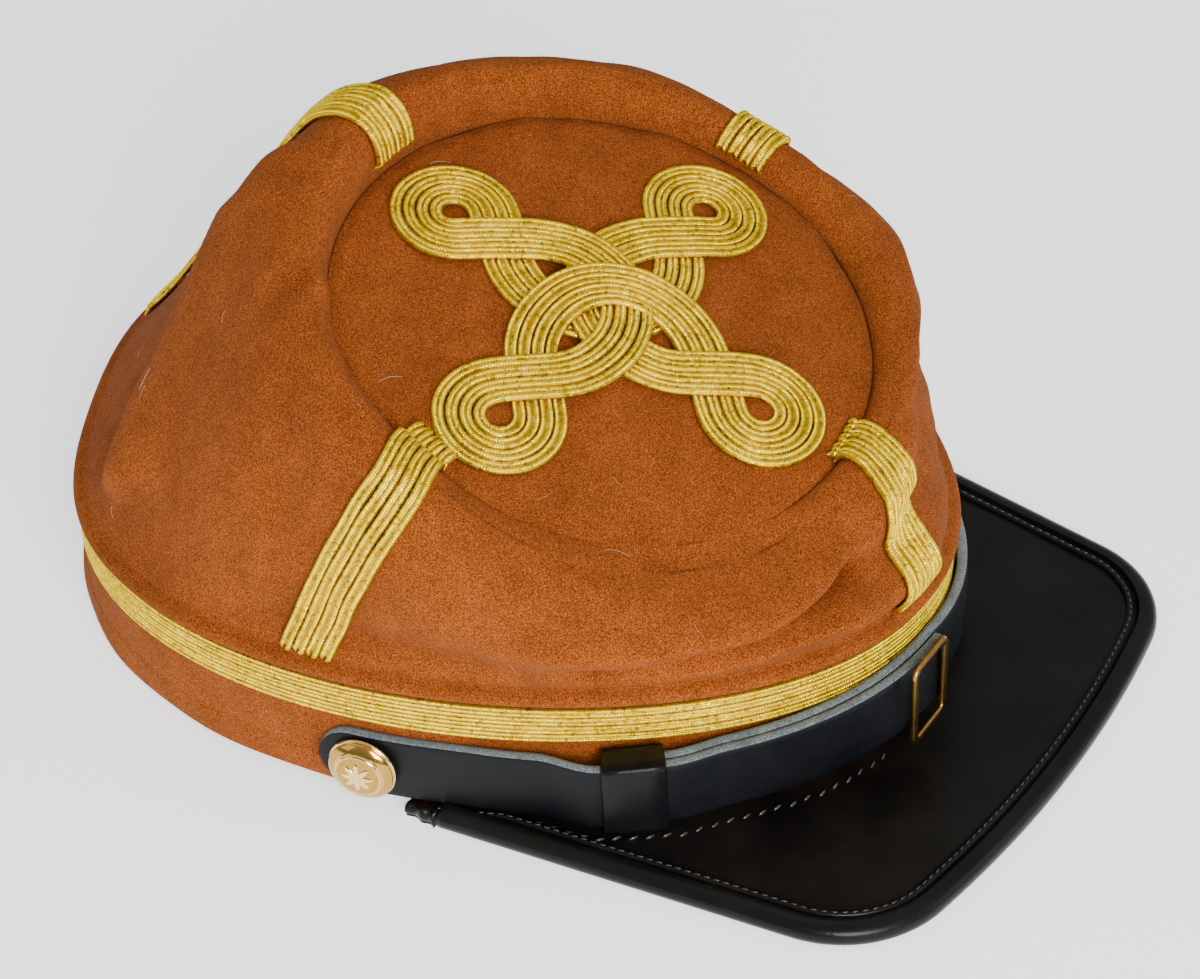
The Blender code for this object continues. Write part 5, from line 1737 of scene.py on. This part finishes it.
@dataclass
class Studio:
    """A pale floor, soft lights, and a camera that looks as the photograph does."""

    placement: Placement
    azimuth: float = -53.14
    elevation: float = 39.29
    roll: float = -4.08
    distance: float = 0.7623
    focal_px: float = 3340.0
    centre_px: tuple[float, float] = (517.3, 554.4)
    sensor: float = 36.0
    floor_size: float = 8.0

    def floor(self) -> None:
        """Lay the floor."""
        half = self.floor_size / 2
        mesh = bpy.data.meshes.new("floor")
        corners = [(-half, -half, 0.0), (half, -half, 0.0), (half, half, 0.0), (-half, half, 0.0)]
        mesh.from_pydata(corners, [], [(0, 1, 2, 3)])
        floor = linked("floor", mesh)
        made = Shader("pale_floor")
        made.surface(base_color=(0.92, 0.92, 0.92, 1.0), roughness=0.8, specular_ior_level=0.1)
        # A sheet lit a little from below keeps the floor near white, as in the photograph
        made.surface(emission_color=(1.0, 1.0, 1.0, 1.0), emission_strength=0.9)
        mesh.materials.append(made.material)

    def lights(self) -> None:
        """Set the lights and the pale surroundings."""
        world = bpy.data.worlds.new("studio")
        bpy.context.scene.world = world
        world.use_nodes = True
        tree = world.node_tree
        background = tree.nodes["Background"]
        background.inputs["Color"].default_value = (0.96, 0.98, 1.0, 1.0)
        # The surroundings are brightest overhead, as under a big soft box
        direction = tree.nodes.new("ShaderNodeTexCoord")
        split = tree.nodes.new("ShaderNodeSeparateXYZ")
        fade = tree.nodes.new("ShaderNodeMapRange")
        for name, value in (("From Min", -0.05), ("From Max", 0.9), ("To Min", 0.26), ("To Max", 0.66)):
            fade.inputs[name].default_value = value
        tree.links.new(direction.outputs["Generated"], split.inputs["Vector"])
        tree.links.new(split.outputs["Z"], fade.inputs["Value"])
        tree.links.new(fade.outputs["Result"], background.inputs["Strength"])
        rows = (
            ("key", (-0.80, -0.84, 0.66), 0.6, 27.0),
            ("top", (0.25, 0.55, 1.25), 1.0, 2.0),
            ("left_fill", (-0.95, 0.75, 0.60), 0.7, 2.0),
            ("front_fill", (0.60, -1.10, 0.55), 0.6, 2.5),
        )
        for name, place, size, power in rows:
            data = bpy.data.lights.new(name, "AREA")
            data.shape = "SQUARE"
            data.size = size
            data.energy = power
            light = linked(name, data)
            light.location = place
            towards = Vector((0.0, 0.0, 0.04)) - Vector(place)
            light.rotation_euler = towards.to_track_quat("-Z", "Y").to_euler()

    def camera(self) -> None:
        """Set the camera, which was fitted to the photograph in the cap's own frame."""
        turn, tall, roll = map(math.radians, (self.azimuth, self.elevation, self.roll))
        back = np.array([math.sin(turn) * math.cos(tall), -math.cos(turn) * math.cos(tall), math.sin(tall)])
        level = np.array([math.cos(turn), math.sin(turn), 0.0])
        above = np.cross(back, level)
        right = math.cos(roll) * level + math.sin(roll) * above
        up = -math.sin(roll) * level + math.cos(roll) * above
        # The photograph's middle lies a little off the fitted axis, so the camera is turned to look along it
        along_x = (PHOTO_WIDTH / 2 - self.centre_px[0]) / self.focal_px
        along_y = (PHOTO_HEIGHT / 2 - self.centre_px[1]) / self.focal_px
        look = unit(-back + right * along_x - up * along_y)
        place = self.placement.leant(back * self.distance)
        zero = self.placement.leant(np.zeros(3))
        look, up = (self.placement.leant(vector) - zero for vector in (look, up))
        side = unit(np.cross(look, up))
        upright = np.cross(side, look)
        data = bpy.data.cameras.new("camera")
        data.sensor_width = self.sensor
        data.lens = self.focal_px / PHOTO_WIDTH * self.sensor
        data.clip_start, data.clip_end = 0.01, 50.0
        camera = linked("camera", data)
        rotation = Matrix((side, upright, -look)).transposed().to_4x4()
        camera.matrix_world = Matrix.Translation(Vector(place)) @ rotation
        bpy.context.scene.camera = camera

    def dress(self) -> None:
        """Set up the studio."""
        self.floor()
        self.lights()
        self.camera()


def main() -> None:
    """Build the cap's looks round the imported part."""
    logging.basicConfig(level=logging.INFO, format="%(name)s %(message)s")
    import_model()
    placement = Placement()
    Studio(placement).dress()
    build = Builder(placement)
    threads, fibres = ThreadRun(), LooseFibres()
    crown = WoolCrown(build)
    crown.dress(fibres)
    GoldBraid(build, crown, threads).dress()
    strap = FrontStrap(build)
    LeatherPeak(build, threads, strap).dress()
    strap.dress()


if __name__ == "__main__":
    main()
